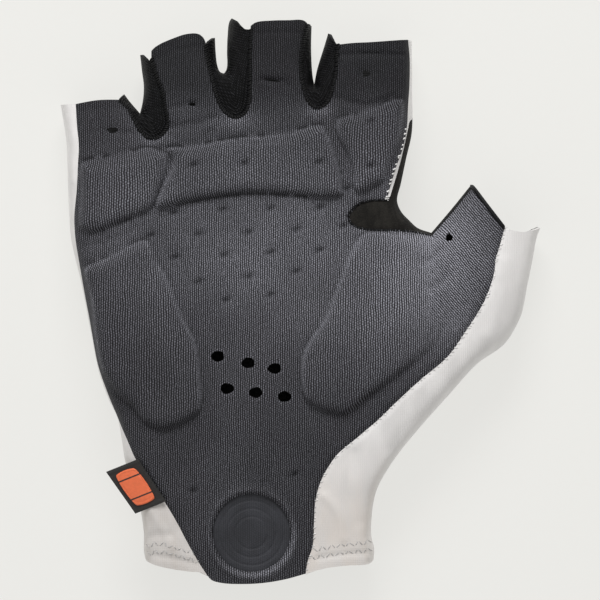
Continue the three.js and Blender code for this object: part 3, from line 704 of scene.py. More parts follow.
def pinches(points, length, width):
    """Marks where the palm is stitched down, drawn out a little upwards to the right."""
    total = np.zeros(len(points))
    turn = math.radians(20)
    for centre in on_glove(DIMPLES):
        off = points - centre
        close = np.flatnonzero(np.abs(off).max(1) < 3 * length)
        along = off[close, 0] * math.cos(turn) + off[close, 1] * math.sin(turn)
        across = off[close, 1] * math.cos(turn) - off[close, 0] * math.sin(turn)
        total[close] += bell(along, length) * bell(across, width)
    return total


def cloth_waves(points, size, seed):
    """Slow uneven waves of loose cloth, from a few crossed ripples."""
    ripples = 7
    draw = np.random.default_rng(seed)
    total = np.zeros(len(points))
    for _ in range(ripples):
        turn = draw.uniform(0, 2 * math.pi)
        wave = size * draw.uniform(0.7, 1.6)
        phase = draw.uniform(0, 2 * math.pi)
        along = points[:, 0] * math.cos(turn) + points[:, 1] * math.sin(turn)
        total += np.sin(2 * math.pi * along / wave + phase)
    return total / ripples


# Panels cut from the two sheets

def ellipse(centre, span, count, turned=0.0, uneven=0.0):
    """A closed loop round a place in the photograph, turned by some degrees and a little uneven."""
    turn = np.linspace(0, 2 * math.pi, count, endpoint=False)
    middle = on_glove([centre])[0]
    swell = 1 + uneven * (np.sin(3 * turn + centre[0]) + 0.7 * np.sin(5 * turn + centre[1]))
    x = np.cos(turn) * span[0] * PIXEL / 2 * swell
    y = np.sin(turn) * span[1] * PIXEL / 2 * swell
    lean = math.radians(turned)
    cos, sin = math.cos(lean), math.sin(lean)
    return middle + np.stack([x * cos - y * sin, x * sin + y * cos], 1)


def seam_stretches(step):
    """Every seam of the upper sheet, as lines that the mesh has to follow."""
    lines = [PALM_OUTER_SEAM, PALM_LITTLE_RING, PALM_RING_MIDDLE, PALM_MIDDLE_INDEX, PALM_INDEX_SEAM,
             LENS_TOP, LENS_BOTTOM, PALM_THUMB_SEAM, PALM_INNER_SEAM, GUSSET_STRIP_EDGE]
    return [smooth_line(line, step) for line in lines]


def outline_of(mouths, step):
    """Outline of a sheet: the shared sides of the glove with this sheet's mouths between them."""
    little, ring, middle, index, thumb, cuff = mouths
    lines = [OUTER_SIDE, *little, LITTLE_INNER, RING_OUTER, *ring, RING_INNER, MIDDLE_OUTER, *middle,
             MIDDLE_INNER, INDEX_OUTER, *index, INDEX_INNER, THUMB_INDEX_SIDE, *thumb, INNER_SIDE, *cuff]
    return joined([smooth_line(line, step) for line in lines])


def ring_points(step, outline, body):
    """Points close inside the sides, where the cloth turns steeply down."""
    found = []
    sides = [OUTER_SIDE, LITTLE_INNER, RING_OUTER, RING_INNER, MIDDLE_OUTER, MIDDLE_INNER, INDEX_OUTER,
             INDEX_INNER, THUMB_INDEX_SIDE, INNER_SIDE]
    for side in sides:
        line = smooth_line(side, step)
        _, across = directions(line)
        for k, reach in enumerate(SIDE_ROWS):
            points = line + across * reach
            if k >= len(SIDE_ROWS) - 2:
                points = points[k % 2::2]
            gap = distance(points, body.lines)
            found.append(points[(gap > 0.94 * reach) & (gap < 1.1 * reach)])
    points = np.concatenate(found)
    return points[inside(points, outline)]


def triangulated(outline, seams, holes, body, step):
    """Flat mesh of a sheet, which follows its outline and seams."""
    places = [outline]
    edges = []
    count = len(outline)
    edges += [(i, (i + 1) % count) for i in range(count)]
    for line in seams:
        edges += [(count + i, count + i + 1) for i in range(len(line) - 1)]
        places.append(line)
        count += len(line)
    for loop in holes:
        edges += [(count + i, count + (i + 1) % len(loop)) for i in range(len(loop))]
        places.append(loop)
        count += len(loop)
    fixed = np.concatenate(places)
    low = outline.min(0)
    high = outline.max(0)
    grid = []
    for k, y in enumerate(np.arange(low[1], high[1], step * 0.866)):
        row = np.arange(low[0] + (k % 2) * step / 2, high[0], step)
        grid.append(np.column_stack([row, np.full(len(row), y)]))
    free = np.concatenate(grid)
    free = free[inside(free, outline)]
    free = free[distance(free, body.lines) > 2.1]
    free = np.concatenate([free, ring_points(step * 0.8, outline, body)])
    cell = step * 0.5
    taken = {(int(x // cell), int(y // cell)) for x, y in fixed}
    around = [(i, j) for i in (-1, 0, 1) for j in (-1, 0, 1)]
    clear = [all((int(x // cell) + i, int(y // cell) + j) not in taken for i, j in around) for x, y in free]
    near_side = distance(free, body.lines) < 2.0
    free = free[np.array(clear) | near_side]
    points = [Vector((x, y)) for x, y in np.concatenate([fixed, free])]
    verts, _, faces, _, _, _ = delaunay_2d_cdt(points, edges, [], 0, 1e-5, False)
    flat = np.array([(v.x, v.y) for v in verts])
    tris = np.array([f[:3] for f in faces])
    middle = flat[tris].mean(1)
    keep = inside(middle, outline)
    for loop in holes:
        keep &= ~inside(middle, loop)
    tris = tris[keep]
    a, b, c = flat[tris[:, 0]], flat[tris[:, 1]], flat[tris[:, 2]]
    turn = (b[:, 0] - a[:, 0]) * (c[:, 1] - a[:, 1]) - (b[:, 1] - a[:, 1]) * (c[:, 0] - a[:, 0])
    tris[turn < 0] = tris[turn < 0][:, ::-1]
    return flat, tris, middle[keep]


def turned_under(lines):
    """The narrow turn of a strip along some side lines, as its outer and its inner run."""
    path = np.concatenate([line if k == 0 else line[1:] for k, line in enumerate(lines)])
    along, across = directions(path)
    path = np.concatenate([path[:1] - along[:1], path, path[-1:] + along[-1:]])
    across = np.concatenate([across[:1], across, across[-1:]])
    return path, path + across * STRIP_TURN


class Sheets:
    """The upper and the lower sheet of the glove, and which panel each of their faces belongs to."""

    def __init__(self, form):
        self.form = form
        self.body = Body(form)
        step = form.mesh_step
        fine = step * 0.8
        self.palm_outline = joined([smooth_line(line, fine) for line in (
            PALM_OUTER_SEAM, LITTLE_MOUTH[1], PALM_LITTLE_RING, *RING_MOUTH[1:3], PALM_RING_MIDDLE,
            *MIDDLE_MOUTH[1:3], PALM_MIDDLE_INDEX, INDEX_MOUTH[1], PALM_INDEX_SEAM, LENS_TOP, LENS_BOTTOM,
            PALM_THUMB_SEAM, THUMB_MOUTH[0], PALM_INNER_SEAM, PALM_HEM)])
        self.seams = seam_stretches(fine)
        pads = [smooth_line(outline, fine, closed=True) for outline in PADS.values()]
        feet = [np.concatenate([pad, pad[:1]]) for pad in pads]
        holes = [ellipse(at, VENT_SPAN, 26, uneven=0.045) for at in VENTS]
        for hole in PINHOLES:
            cut = [0.9 * side for side in hole["span"]]
            holes.append(ellipse(hole["at"], cut, 16, hole.get("turn", 0), 0.1))
        holes.append(ellipse(DISC_AT, (2 * DISC_REACH, 2 * DISC_REACH), 128))
        upper_mouths = (LITTLE_MOUTH, RING_MOUTH, MIDDLE_MOUTH, INDEX_MOUTH, THUMB_MOUTH, CUFF_EDGE)
        lower_mouths = ([LITTLE_BACK], [RING_BACK], [MIDDLE_BACK], [INDEX_BACK], [THUMB_BACK], [CUFF_BACK])
        self.upper = triangulated(outline_of(upper_mouths, fine), self.seams + feet, holes, self.body, step)
        self.turns = {name: turned_under([smooth_line(line, step) for line in lines])
                      for name, lines in LOWER_GAPS.items()}
        hems = [np.concatenate([outer[:1], inner, outer[-1:]]) for outer, inner in self.turns.values()]
        self.lower = triangulated(outline_of(lower_mouths, fine), hems, [], self.body, step * 1.25)
        self.label_upper()
        self.label_lower()
        self.upper_height = self.surface(self.upper[0])
        self.lower_height = self.body.lower(self.lower[0])

    def label_upper(self):
        """Names the panel that each face of the upper sheet belongs to."""
        middle = self.upper[2]
        names = np.full(len(middle), "back_panel", dtype=object)
        for name, field in STRIP_FIELDS.items():
            names[inside(middle, on_glove(field))] = name
        names[inside(middle, on_glove(GUSSET_FIELD))] = "thumb_gusset"
        names[inside(middle, self.palm_outline)] = "palm_panel"
        self.upper_names = names

    def label_lower(self):
        """Names the panel that each face of the lower sheet belongs to."""
        middle = self.lower[2]
        names = np.full(len(middle), "back_panel", dtype=object)
        for name, (outer, inner) in self.turns.items():
            names[inside(middle, np.concatenate([1.3 * outer - 0.3 * inner, inner[::-1]]))] = name
        self.lower_names = names

    def surface(self, points):
        """Height of the upper cloth over places in plan, with all its relief. All lengths are in mm."""
        swell, palm_wave, collar, moat = 0.55, 0.28, 0.55, 0.7
        seam_depth, pucker_height, slack_wave = 0.35, 0.16, 0.3
        points = np.asarray(points, float).reshape(-1, 2)
        height, gap = self.body.upper(points)
        seam_gap = distance(points, self.seams)
        on_palm = inside(points, self.palm_outline) | (nearest(points, self.palm_outline)[0] < 0.05)
        relief = pad_relief(points, self.form.pad_rise) * eased(seam_gap / 1.6)
        relief += pressed_relief(points) * eased(seam_gap / 0.8)
        relief += swell * (1 - np.exp(-seam_gap / 0.7))
        relief += palm_wave * cloth_waves(points, size=26, seed=3) * eased(seam_gap / 2.2) * eased(gap / 4)
        rim = np.linalg.norm(points - on_glove([DISC_AT])[0], axis=1) - DISC_REACH * PIXEL
        relief += collar * bell(rim - 1.4, 0.9) - moat * bell(rim, 0.6)
        sunk = -seam_depth * bell(seam_gap, 0.8)
        pucker = pucker_height * cloth_waves(points, size=4.5, seed=8) * bell(seam_gap, 2.5) * eased(gap / 2)
        slack = slack_wave * cloth_waves(points, size=14, seed=5) * eased(gap / 3) * eased(seam_gap / 1.5)
        for fold in FOLDS:
            away, _ = nearest(points, smooth_line(fold["line"], 1.0))
            slack += fold["rise"] * bell(away, fold["width"]) * eased(gap / 2)
        return height + (sunk + pucker + np.where(on_palm, relief, slack)) * eased(gap / 1.1)

    def plain(self, points):
        """Height of the upper cloth without any relief."""
        return self.body.upper(np.asarray(points, float).reshape(-1, 2))[0]


SHEETS = {}


def form_in_mm():
    """The sizes of the glove's form, in millimetres."""
    form = bpy.context.scene.glove_form
    return SimpleNamespace(**{key: getattr(form, key) / MM for key in GloveForm.__annotations__})


def sheets():
    """The glove's two sheets, solved once and then shared by all pieces."""
    if "glove" not in SHEETS:
        SHEETS["glove"] = Sheets(form_in_mm())
    return SHEETS["glove"]


def object_from(name, verts, faces, weave=None, tone=None):
    """A mesh object from points in millimetres."""
    mesh = bpy.data.meshes.new(name)
    corners = faces.tolist() if isinstance(faces, np.ndarray) else faces
    mesh.from_pydata((np.asarray(verts) * MM).tolist(), [], corners)
    if weave is not None:
        layer = mesh.attributes.new("weave", "FLOAT_VECTOR", "POINT")
        layer.data.foreach_set("vector", np.asarray(weave, np.float32).ravel())
    if tone is not None:
        mesh.attributes.new("tone", "FLOAT", "POINT").data.foreach_set("value", np.asarray(tone, np.float32))
    obj = bpy.data.objects.new(name, mesh)
    bpy.context.scene.collection.objects.link(obj)
    return obj


def lean_of(points):
    """How far the knit follows the thumb, from 0 on the hand to 1 on the thumb."""
    x0, x1 = on_glove([(418, 300), (442, 300)])[:, 0]
    y0, y1 = on_glove([(0, 350), (0, 300)])[:, 1]
    return eased((points[:, 0] - x0) / (x1 - x0)) * eased((points[:, 1] - y0) / (y1 - y0))


def tone_of(points):
    """Lightness of the knit, with painted light and shade in it. It has painted light over the middle of the
    palm and the thumb, painted highlights along the flanks of the pads and round the heel disc, and painted
    shade on the fingers, in the dimples and where the pads turn down."""
    plain, painted_finger_shade, painted_dimple_shade = 0.36, 0.22, 0.55
    finger_roots = on_glove([(0, 125)])[0, 1]
    # Painted shade on the fingers
    tone = plain - painted_finger_shade * eased((points[:, 1] - finger_roots) / 12)
    # Painted light and shade at the listed spots
    for spot in PAINTED_LIGHT_SPOTS:
        away = np.linalg.norm((points - on_glove([spot["at"]])[0]) / spot["reach"], axis=1)
        tone += spot["paler"] * bell(away, 1)
    # Painted highlights on the ridges of the pads' flanks, a little painted light over each pad, and painted
    # shadow at their feet towards the cuff
    for name, close, gap, facing, left, _ in pad_edges(points):
        foot_turn = np.clip(facing, 0, 1) ** 2
        flank = np.clip(1 - 1.3 * np.clip(facing, 0, 1), 0, 1) * (1 - 0.6 * np.clip(-facing, 0, 1))
        _, bright, dark = PAD_FLANKS[name]
        ridge = bright * flank * bell(gap - 0.75, 0.42) * left
        foot = 1 - dark * foot_turn * left * np.exp(-np.clip(gap, 0, 9) / 1.5) * (gap > -0.3)
        tone[close] = (tone[close] + ridge + 0.05 * (gap > 0) * left) * foot
    # Painted shade in the dimples
    tone *= 1 - painted_dimple_shade * pinches(points, 1.3, 0.6)
    # Painted highlight on the rim round the heel disc, brightest on its lower right side
    off = points - on_glove([DISC_AT])[0]
    away = np.linalg.norm(off, axis=1)
    lit = np.clip((off @ (0.5, -0.87)) / np.maximum(away, 1e-9), 0, 1)
    tone += (0.2 + 0.75 * lit) * bell(away - DISC_REACH * PIXEL - 1.1, 0.6 + 0.5 * lit)
    vent_rim = 0.35
    for vent in on_glove(VENTS):
        edge = np.linalg.norm((points - vent) / VENT_SPAN, axis=1) / PIXEL - 0.5
        tone += vent_rim * bell(edge - 0.06, 0.07)
    darkest, brightest = 0.08, 2
    return np.clip(tone, darkest, brightest)


def panel(name):
    """One sewn panel, cut from both sheets, with the thickness of its cloth."""
    cut = sheets()
    form = cut.form
    up_flat, up_tris, _ = cut.upper
    low_flat, low_tris, _ = cut.lower
    up = up_tris[cut.upper_names == name]
    low = low_tris[cut.lower_names == name][:, ::-1]
    above = np.column_stack([up_flat, cut.upper_height])
    below = np.column_stack([low_flat, cut.lower_height])
    verts = np.concatenate([above, below])
    faces = np.concatenate([up, low + len(up_flat)])
    used = np.unique(faces)
    order = np.zeros(len(verts), int)
    order[used] = np.arange(len(used))
    verts = verts[used]
    faces = order[faces]
    if name in STRIP_FIELDS:
        follow = distance(verts[:, :2], cut.seams) + 0.8 * (HIGH[2] - verts[:, 2])
    else:
        follow = lean_of(verts[:, :2])
    spread = cut.body.unrolled(verts[:, :2]) + pad_drag(verts[:, :2], form.pad_rise)
    weave = np.column_stack([spread, follow])
    obj = object_from(name + "_cloth", verts, faces, weave, tone_of(verts[:, :2]))
    shell = bmesh.new()
    shell.from_mesh(obj.data)
    bmesh.ops.remove_doubles(shell, verts=shell.verts, dist=0.02 * MM)
    bmesh.ops.delete(shell, geom=[v for v in shell.verts if not v.link_faces], context="VERTS")
    shell.to_mesh(obj.data)
    shell.free()
    cloth = {"palm_panel": form.palm_cloth, "back_panel": form.back_cloth}.get(name, form.strip_cloth)
    thicken(obj, cloth)
    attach(obj, "root")
    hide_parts(name)
    return obj


def thicken(obj, cloth):
    """Gives a sheet the thickness of its cloth, inwards, and smooth shading with crisp rims. Its inner side
    is marked for a painted shade.
    """
    solid = obj.modifiers.new("cloth", "SOLIDIFY")
    solid.thickness = cloth * MM
    solid.offset = -1
    solid.use_even_offset = False
    graph = bpy.context.evaluated_depsgraph_get()
    shell = obj.evaluated_get(graph)
    finished = bpy.data.meshes.new_from_object(shell, preserve_all_data_layers=True, depsgraph=graph)
    obj.modifiers.clear()
    old = obj.data
    # Marks the inner side, which gets a painted shade for the dark inside of the glove
    painted_inside_shade = np.zeros(len(finished.vertices), np.float32)
    painted_inside_shade[len(old.vertices):] = 1
    finished.attributes.new("painted_inside_shade", "FLOAT", "POINT").data.foreach_set("value", painted_inside_shade)
    obj.data = finished
    bpy.data.meshes.remove(old)
    finished.shade_smooth()
    finished.set_sharp_from_angle(angle=math.radians(55))


# Materials

class Shades:
    """A small writer of shader nodes."""

    def __init__(self, name):
        self.material = bpy.data.materials.new(name)
        self.material.use_nodes = True
        self.tree = self.material.node_tree
        self.tree.nodes.clear()
        self.out = self.node("ShaderNodeOutputMaterial")
        self.shader = self.node("ShaderNodeBsdfPrincipled")
        self.link(self.shader.outputs["BSDF"], self.out.inputs["Surface"])

    def node(self, kind, **settings):
        made = self.tree.nodes.new(kind)
        for key, value in settings.items():
            setattr(made, key, value)
        return made

    def link(self, source, target):
        self.tree.links.new(source, target)

    def put(self, target, value):
        """Links a socket to the target, or sets a number on it."""
        if isinstance(value, bpy.types.NodeSocket):
            self.link(value, target)
        else:
            target.default_value = value

    def math(self, operation, *values):
        made = self.node("ShaderNodeMath", operation=operation)
        for target, value in zip(made.inputs, values):
            self.put(target, value)
        return made.outputs[0]

    def times(self, a, b):
        return self.math("MULTIPLY", a, b)

    def plus(self, a, b):
        return self.math("ADD", a, b)

    def minus(self, a, b):
        return self.math("SUBTRACT", a, b)

    def vector(self, name):
        return self.node("ShaderNodeAttribute", attribute_name=name).outputs["Vector"]

    def number(self, name):
        return self.node("ShaderNodeAttribute", attribute_name=name).outputs["Fac"]

    def place(self):
        """The place on the piece, in millimetres."""
        metres = self.node("ShaderNodeTexCoord").outputs["Object"]
        return self.scaled(metres, (1 / MM, 1 / MM, 1 / MM))

    def scaled(self, vector, factors):
        made = self.node("ShaderNodeVectorMath", operation="MULTIPLY")
        self.put(made.inputs[0], vector)
        made.inputs[1].default_value = factors
        return made.outputs[0]

    def parts(self, vector):
        made = self.node("ShaderNodeSeparateXYZ")
        self.put(made.inputs[0], vector)
        return made.outputs

    def noise(self, vector, scale, detail=2.0, rough=0.5):
        made = self.node("ShaderNodeTexNoise")
        self.put(made.inputs["Vector"], vector)
        made.inputs["Scale"].default_value = scale
        made.inputs["Detail"].default_value = detail
        made.inputs["Roughness"].default_value = rough
        return made.outputs["Fac"]

    def ranged(self, value, low, high, to_low=0.0, to_high=1.0):
        """A value mapped softly from one range to another."""
        made = self.node("ShaderNodeMapRange", interpolation_type="SMOOTHSTEP")
        self.put(made.inputs["Value"], value)
        for key, number in (("From Min", low), ("From Max", high), ("To Min", to_low), ("To Max", to_high)):
            made.inputs[key].default_value = number
        return made.outputs["Result"]

    def mixed(self, factor, a, b):
        made = self.node("ShaderNodeMix", data_type="RGBA")
        self.put(made.inputs["Factor"], factor)
        for socket, colour in ((made.inputs["A"], a), (made.inputs["B"], b)):
            if isinstance(colour, bpy.types.NodeSocket):
                self.link(colour, socket)
            else:
                socket.default_value = (*colour, 1.0)
        return made.outputs["Result"]

    def shaded_inside(self, colour):
        """The cloth's colour outside and a painted shade inside: the dark inside of the glove, seen through
        its holes and mouths.
        """
        return self.mixed(self.ranged(self.number("painted_inside_shade"), 0.3, 0.9), colour, (0.006, 0.006, 0.006))

    def blended(self, factor, a, b):
        """A number between two others."""
        made = self.node("ShaderNodeMix", data_type="FLOAT")
        for key, value in ((0, factor), (2, a), (3, b)):
            self.put(made.inputs[key], value)
        return made.outputs[0]

    def wave(self, value, pitch, offset=0.0):
        """A wave between 0 and 1 with the given pitch."""
        turn = self.math("MULTIPLY_ADD", value, 2 * math.pi / pitch, offset)
        return self.math("MULTIPLY_ADD", self.math("SINE", turn), 0.5, 0.5)

    def swing(self, noise, size):
        """A noise between 0 and 1 turned into one to both sides of 0."""
        return self.times(self.minus(noise, 0.5), size)

    def finish(self, colour, roughness, bump=None, depth=0.0, strength=1.0, **fixed):
        """Gives the shader its colour, roughness, bump in mm and fixed inputs, and returns the material."""
        if isinstance(colour, bpy.types.NodeSocket):
            self.link(colour, self.shader.inputs["Base Color"])
        else:
            self.shader.inputs["Base Color"].default_value = (*colour, 1.0)
        self.put(self.shader.inputs["Roughness"], roughness)
        if bump is not None:
            made = self.node("ShaderNodeBump")
            made.inputs["Strength"].default_value = strength
            made.inputs["Distance"].default_value = depth * MM
            self.link(bump, made.inputs["Height"])
            self.link(made.outputs["Normal"], self.shader.inputs["Normal"])
        for key, value in fixed.items():
            self.shader.inputs[key].default_value = value
        return self.material


def shade(colour, factor):
    """A colour made lighter or darker by a factor."""
    return tuple(channel * factor for channel in colour)


def knit_tone(made, x, y):
    """Upright columns of small bright stitches, half a stitch apart from one column to the next."""
    column = made.wave(x, KNIT_PITCH)
    count = made.math("FLOOR", made.plus(made.math("DIVIDE", x, KNIT_PITCH), 0.25))
    stitch = made.wave(y, KNIT_PITCH * 1.1, made.times(count, math.pi))
    lit = made.plus(made.times(made.math("POWER", stitch, 1.3), 0.66), 0.34)
    return made.times(made.math("POWER", column, 2.0), lit)


def palm_knit():
    """Fine ribbed knit: upright columns of small bright stitches over a dark ground."""
    colours = bpy.context.scene.glove_colours
    made = Shades("palm_knit")
    weave = made.vector("weave")
    x, y, lean = made.parts(weave)
    drift = made.swing(made.noise(weave, 0.16), 0.9)
    sway = made.swing(made.noise(made.scaled(weave, (1, 0.6, 0)), 0.11, 1.0), 1.5)
    loose = made.swing(made.noise(weave, 1.1, 1.0), 0.34)
    x = made.plus(made.plus(x, drift), loose)
    y = made.plus(made.plus(y, sway), loose)
    thumb_lean = math.radians(-42)
    cos, sin = math.cos(thumb_lean), math.sin(thumb_lean)
    across = made.minus(made.times(x, cos), made.times(y, sin))
    along = made.plus(made.times(x, sin), made.times(y, cos))
    stitches = made.blended(lean, knit_tone(made, x, y), knit_tone(made, across, along))
    fleck = made.ranged(made.noise(weave, 1.3, 3.0, 0.7), 0.3, 0.7, 0.7, 1.25)
    patchy = made.ranged(made.noise(weave, 0.06, 3.0), 0.3, 0.7, 0.88, 1.12)
    # Painted light and shade from the tone attribute lighten and darken the stitches and the ground
    light = made.times(made.times(fleck, patchy), made.times(made.number("tone"), 0.94))
    brightest = 1.5
    tone = made.math("MINIMUM", made.times(stitches, light), brightest)
    ground = made.mixed(made.number("tone"), shade(colours.palm, 0.04), shade(colours.palm, 0.22))
    colour = made.shaded_inside(made.mixed(tone, ground, colours.palm_light))
    return made.finish(colour, 0.75, stitches, depth=0.2, strength=0.7,
                       **{"Sheen Weight": 0.03, "Sheen Roughness": 0.4, "Specular IOR Level": 0.14})


def back_satin():
    """Smooth stretch knit with a soft gloss and fine upright ribs, with painted shade at the wrist: warmer
    and darker towards the cuff, and darker still on its outer side.
    """
    colours = bpy.context.scene.glove_colours
    made = Shades("back_satin")
    weave = made.vector("weave")
    x, y, _ = made.parts(weave)
    rib = made.wave(x, 0.55)
    row = made.wave(y, 0.5)
    ground = made.ranged(made.noise(made.scaled(weave, (1, 0.35, 1)), 0.2, 4.0), 0.3, 0.7, 0.0, 0.5)
    fine = made.times(made.plus(rib, made.times(row, 0.4)), 0.22)
    # Painted shade at the wrist: warmer and darker towards the cuff, darker still on its outer side
    low, high = on_glove([(0, 530), (0, 430)])[:, 1]
    outer, inner = on_glove([(150, 0), (300, 0)])[:, 0]
    warm_shade = tuple(channel * part for channel, part in zip(colours.back, (0.86, 0.81, 0.76)))
    at_wrist = made.ranged(y, low, high, 1.0, 0.0)
    outer_wrist_shade = made.times(at_wrist, made.ranged(x, outer, inner, 1.0, 0.0))
    cloth = made.mixed(outer_wrist_shade, made.mixed(at_wrist, colours.back, warm_shade), shade(warm_shade, 0.8))
    colour = made.shaded_inside(made.mixed(made.plus(ground, fine), cloth, shade(colours.back, 0.84)))
    bump = made.plus(rib, made.times(row, 0.5))
    return made.finish(colour, 0.42, bump, depth=0.07, strength=0.5,
                       **{"Sheen Weight": 0.2, "Sheen Roughness": 0.3, "Specular IOR Level": 0.45})


def strip_mesh():
    """Open mesh knit: small bright threads round rows of dark holes. The threads and holes are the mesh's own
    pattern, and the threads' brightness is partly a painted highlight on their gloss.
    """
    colours = bpy.context.scene.glove_colours
    made = Shades("strip_mesh")
    pitch = 0.8
    x, y, seam = made.parts(made.vector("weave"))
    slant = made.plus(made.times(x, 0.7), y)
    shift = made.times(made.math("FLOOR", made.math("DIVIDE", seam, pitch)), 2.2)
    threads = made.times(made.wave(seam, pitch), made.wave(slant, 0.78, shift))
    speck = made.ranged(made.noise(made.vector("weave"), 0.7, 3.0), 0.4, 0.65, 0.4, 1.0)
    # Brighter threads: the mesh's pattern, partly a painted highlight on the glossy threads
    cloth = made.mixed(made.times(threads, speck), shade(colours.mesh, 0.05), shade(colours.mesh, 3.8))
    return made.finish(made.shaded_inside(cloth), 0.6, threads, depth=0.4, strength=0.9,
                       **{"Specular IOR Level": 0.12})


def gusset_suede():
    """Brushed, slightly patchy suede."""
    colours = bpy.context.scene.glove_colours
    made = Shades("gusset_suede")
    place = made.place()
    nap = made.noise(place, 2.6, 4.0, 0.7)
    brushed = made.noise(made.scaled(place, (0.35, 0.12, 0.35)), 1.0)
    pile = made.ranged(made.plus(nap, brushed), 0.75, 1.3)
    colour = made.shaded_inside(made.mixed(pile, shade(colours.suede, 0.3), colours.suede))
    return made.finish(colour, 0.92, nap, depth=0.18, strength=0.8, **{"Specular IOR Level": 0.2})


def disc_rubber():
    """Soft rubber with a fine grain over a faint knit."""
    colours = bpy.context.scene.glove_colours
    made = Shades("disc_rubber")
    place = made.place()
    x, y, _ = made.parts(place)
    grain = made.noise(place, 3.5, 3.0, 0.6)
    knit = knit_tone(made, x, y)
    cloudy = made.ranged(made.noise(place, 0.14, 3.0), 0.3, 0.7, 0.75, 1.2)
    tone = made.times(made.plus(grain, made.times(knit, 0.5)), cloudy)
    colour = made.mixed(made.ranged(tone, 0.2, 1.0), shade(colours.disc, 0.55), shade(colours.disc, 1.5))
    rough = made.ranged(grain, 0.3, 0.7, 0.5, 0.65)
    return made.finish(colour, rough, made.plus(grain, knit), depth=0.06, strength=0.5,
                       **{"Specular IOR Level": 0.3})


def tape_woven():
    """Tight plain weave of narrow tape."""
    tint = bpy.context.scene.glove_colours.tape
    made = Shades("tape_woven")
    turns = 2 * math.pi / 0.5
    x, y, _ = made.parts(made.vector("weave"))
    cross = made.times(made.math("SINE", made.times(x, turns)), made.math("SINE", made.times(y, turns)))
    speck = made.noise(made.vector("weave"), 1.6)
    tone = made.ranged(made.plus(cross, made.times(speck, 1.2)), -0.6, 1.6)
    colour = made.mixed(tone, shade(tint, 0.65), shade(tint, 1.35))
    return made.finish(colour, 0.6, cross, depth=0.08, strength=0.7, **{"Sheen Weight": 0.08})


def patch_satin():
    """Satin patch with a plain line across each end."""
    colours = bpy.context.scene.glove_colours
    made = Shades("patch_woven")
    line_at = 3.1
    x, y, _ = made.parts(made.vector("weave"))
    ribs = made.wave(made.plus(x, made.times(y, 0.3)), 0.34)
    speck = made.noise(made.vector("weave"), 1.2)
    cloth = made.mixed(made.times(ribs, speck), shade(colours.patch, 0.78), shade(colours.patch, 1.15))
    off_line = made.math("ABSOLUTE", made.minus(made.math("ABSOLUTE", x), line_at))
    colour = made.mixed(made.ranged(off_line, 0.16, 0.28, 1.0, 0.0), cloth, colours.tape)
    return made.finish(colour, 0.5, ribs, depth=0.06, strength=0.6, **{"Sheen Weight": 0.1})


def thread(name, tint):
    """Twisted sewing thread of one colour."""
    made = Shades(name)
    twist = made.noise(made.place(), 3.0, 1.0)
    colour = made.mixed(made.ranged(twist, 0.3, 0.7), shade(tint, 0.7), shade(tint, 1.25))
    return made.finish(colour, 0.6, twist, depth=0.06, strength=0.6, **{"Specular IOR Level": 0.2})


def clad(obj, material, slot):
    """Gives a piece its only material. The slot is not used."""
    obj.data.materials.clear()
    obj.data.materials.append(material)


# Threads and the label

def tubes(paths, radius, sides=6, pinch=0.35):
    """Closed tubes along paths of equally many points, thinner at both ends."""
    count, length, _ = paths.shape
    along = np.gradient(paths, axis=1)
    along /= np.maximum(np.linalg.norm(along, axis=2), 1e-9)[..., None]
    side = np.cross(along, (0, 0, 1))
    side /= np.maximum(np.linalg.norm(side, axis=2), 1e-9)[..., None]
    up = np.cross(side, along)
    thick = np.full(length, float(radius))
    thick[0] = thick[-1] = radius * pinch
    turn = np.linspace(0, 2 * math.pi, sides, endpoint=False)
    ring = (side[:, :, None] * np.cos(turn)[:, None] + up[:, :, None] * np.sin(turn)[:, None])
    verts = (paths[:, :, None] + ring * thick[None, :, None, None]).reshape(-1, 3)
    faces = []
    for n in range(count):
        first = n * length * sides
        for k in range(length - 1):
            low = first + k * sides
            faces += [(low + a, low + (a + 1) % sides, low + sides + (a + 1) % sides, low + sides + a)
                      for a in range(sides)]
        faces.append(tuple(first + a for a in reversed(range(sides))))
        faces.append(tuple(first + (length - 1) * sides + a for a in range(sides)))
    return verts, faces


def laid(plan, lift, arch=0.0):
    """Paths in plan laid on the glove's upper surface. An arch raises their middles and sinks their ends."""
    count, length, _ = plan.shape
    height = sheets().surface(plan.reshape(-1, 2)).reshape(count, length)
    rise = arch * (np.sin(np.linspace(0, math.pi, length)) - 0.55)
    return np.concatenate([plan, (height + lift + rise)[..., None]], 2)


def stitches_across(pixels, pitch, length, slant, shift, uneven, seed):
    """Short stitches across a seam, as paths in plan."""
    draw = np.random.default_rng(seed)
    line = smooth_line(pixels, pitch)
    along, across = directions(line)
    wide = length * (1 + uneven * draw.uniform(-1, 1, len(line)))[:, None]
    middle = line + across * shift + along * draw.uniform(-1, 1, (len(line), 1)) * pitch * uneven
    reach = (across + along * slant) * wide / 2
    at = np.linspace(-1, 1, 5)[None, :, None]
    return middle[:, None] + reach[:, None] * at


def zigzag(pixels, pitch, width, seed):
    """Stitches that run to and fro along a line, as paths in plan."""
    draw = np.random.default_rng(seed)
    line = smooth_line(pixels, pitch)
    _, across = directions(line)
    knots = line + across * width / 2 * np.where(np.arange(len(line)) % 2, 1, -1)[:, None]
    knots += draw.uniform(-0.25, 0.25, knots.shape)
    at = np.linspace(0.12, 0.88, 5)[None, :, None]
    return knots[:-1, None] * (1 - at) + knots[1:, None] * at


def sewn(name, verts, faces, material, slot):
    """A smooth, clad piece of sewing that rides on the glove."""
    obj = object_from(name, verts, faces)
    obj.data.shade_smooth()
    clad(obj, material, slot)
    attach(obj, "root")
    return obj


def ring_faces(rings, count):
    """Faces between rings of equally many points, and one that closes the first ring."""
    faces = []
    for low in range(0, (rings - 1) * count, count):
        high = low + count
        faces += [(low + k, low + (k + 1) % count, high + (k + 1) % count, high + k) for k in range(count)]
    return faces + [tuple(reversed(range(count)))]


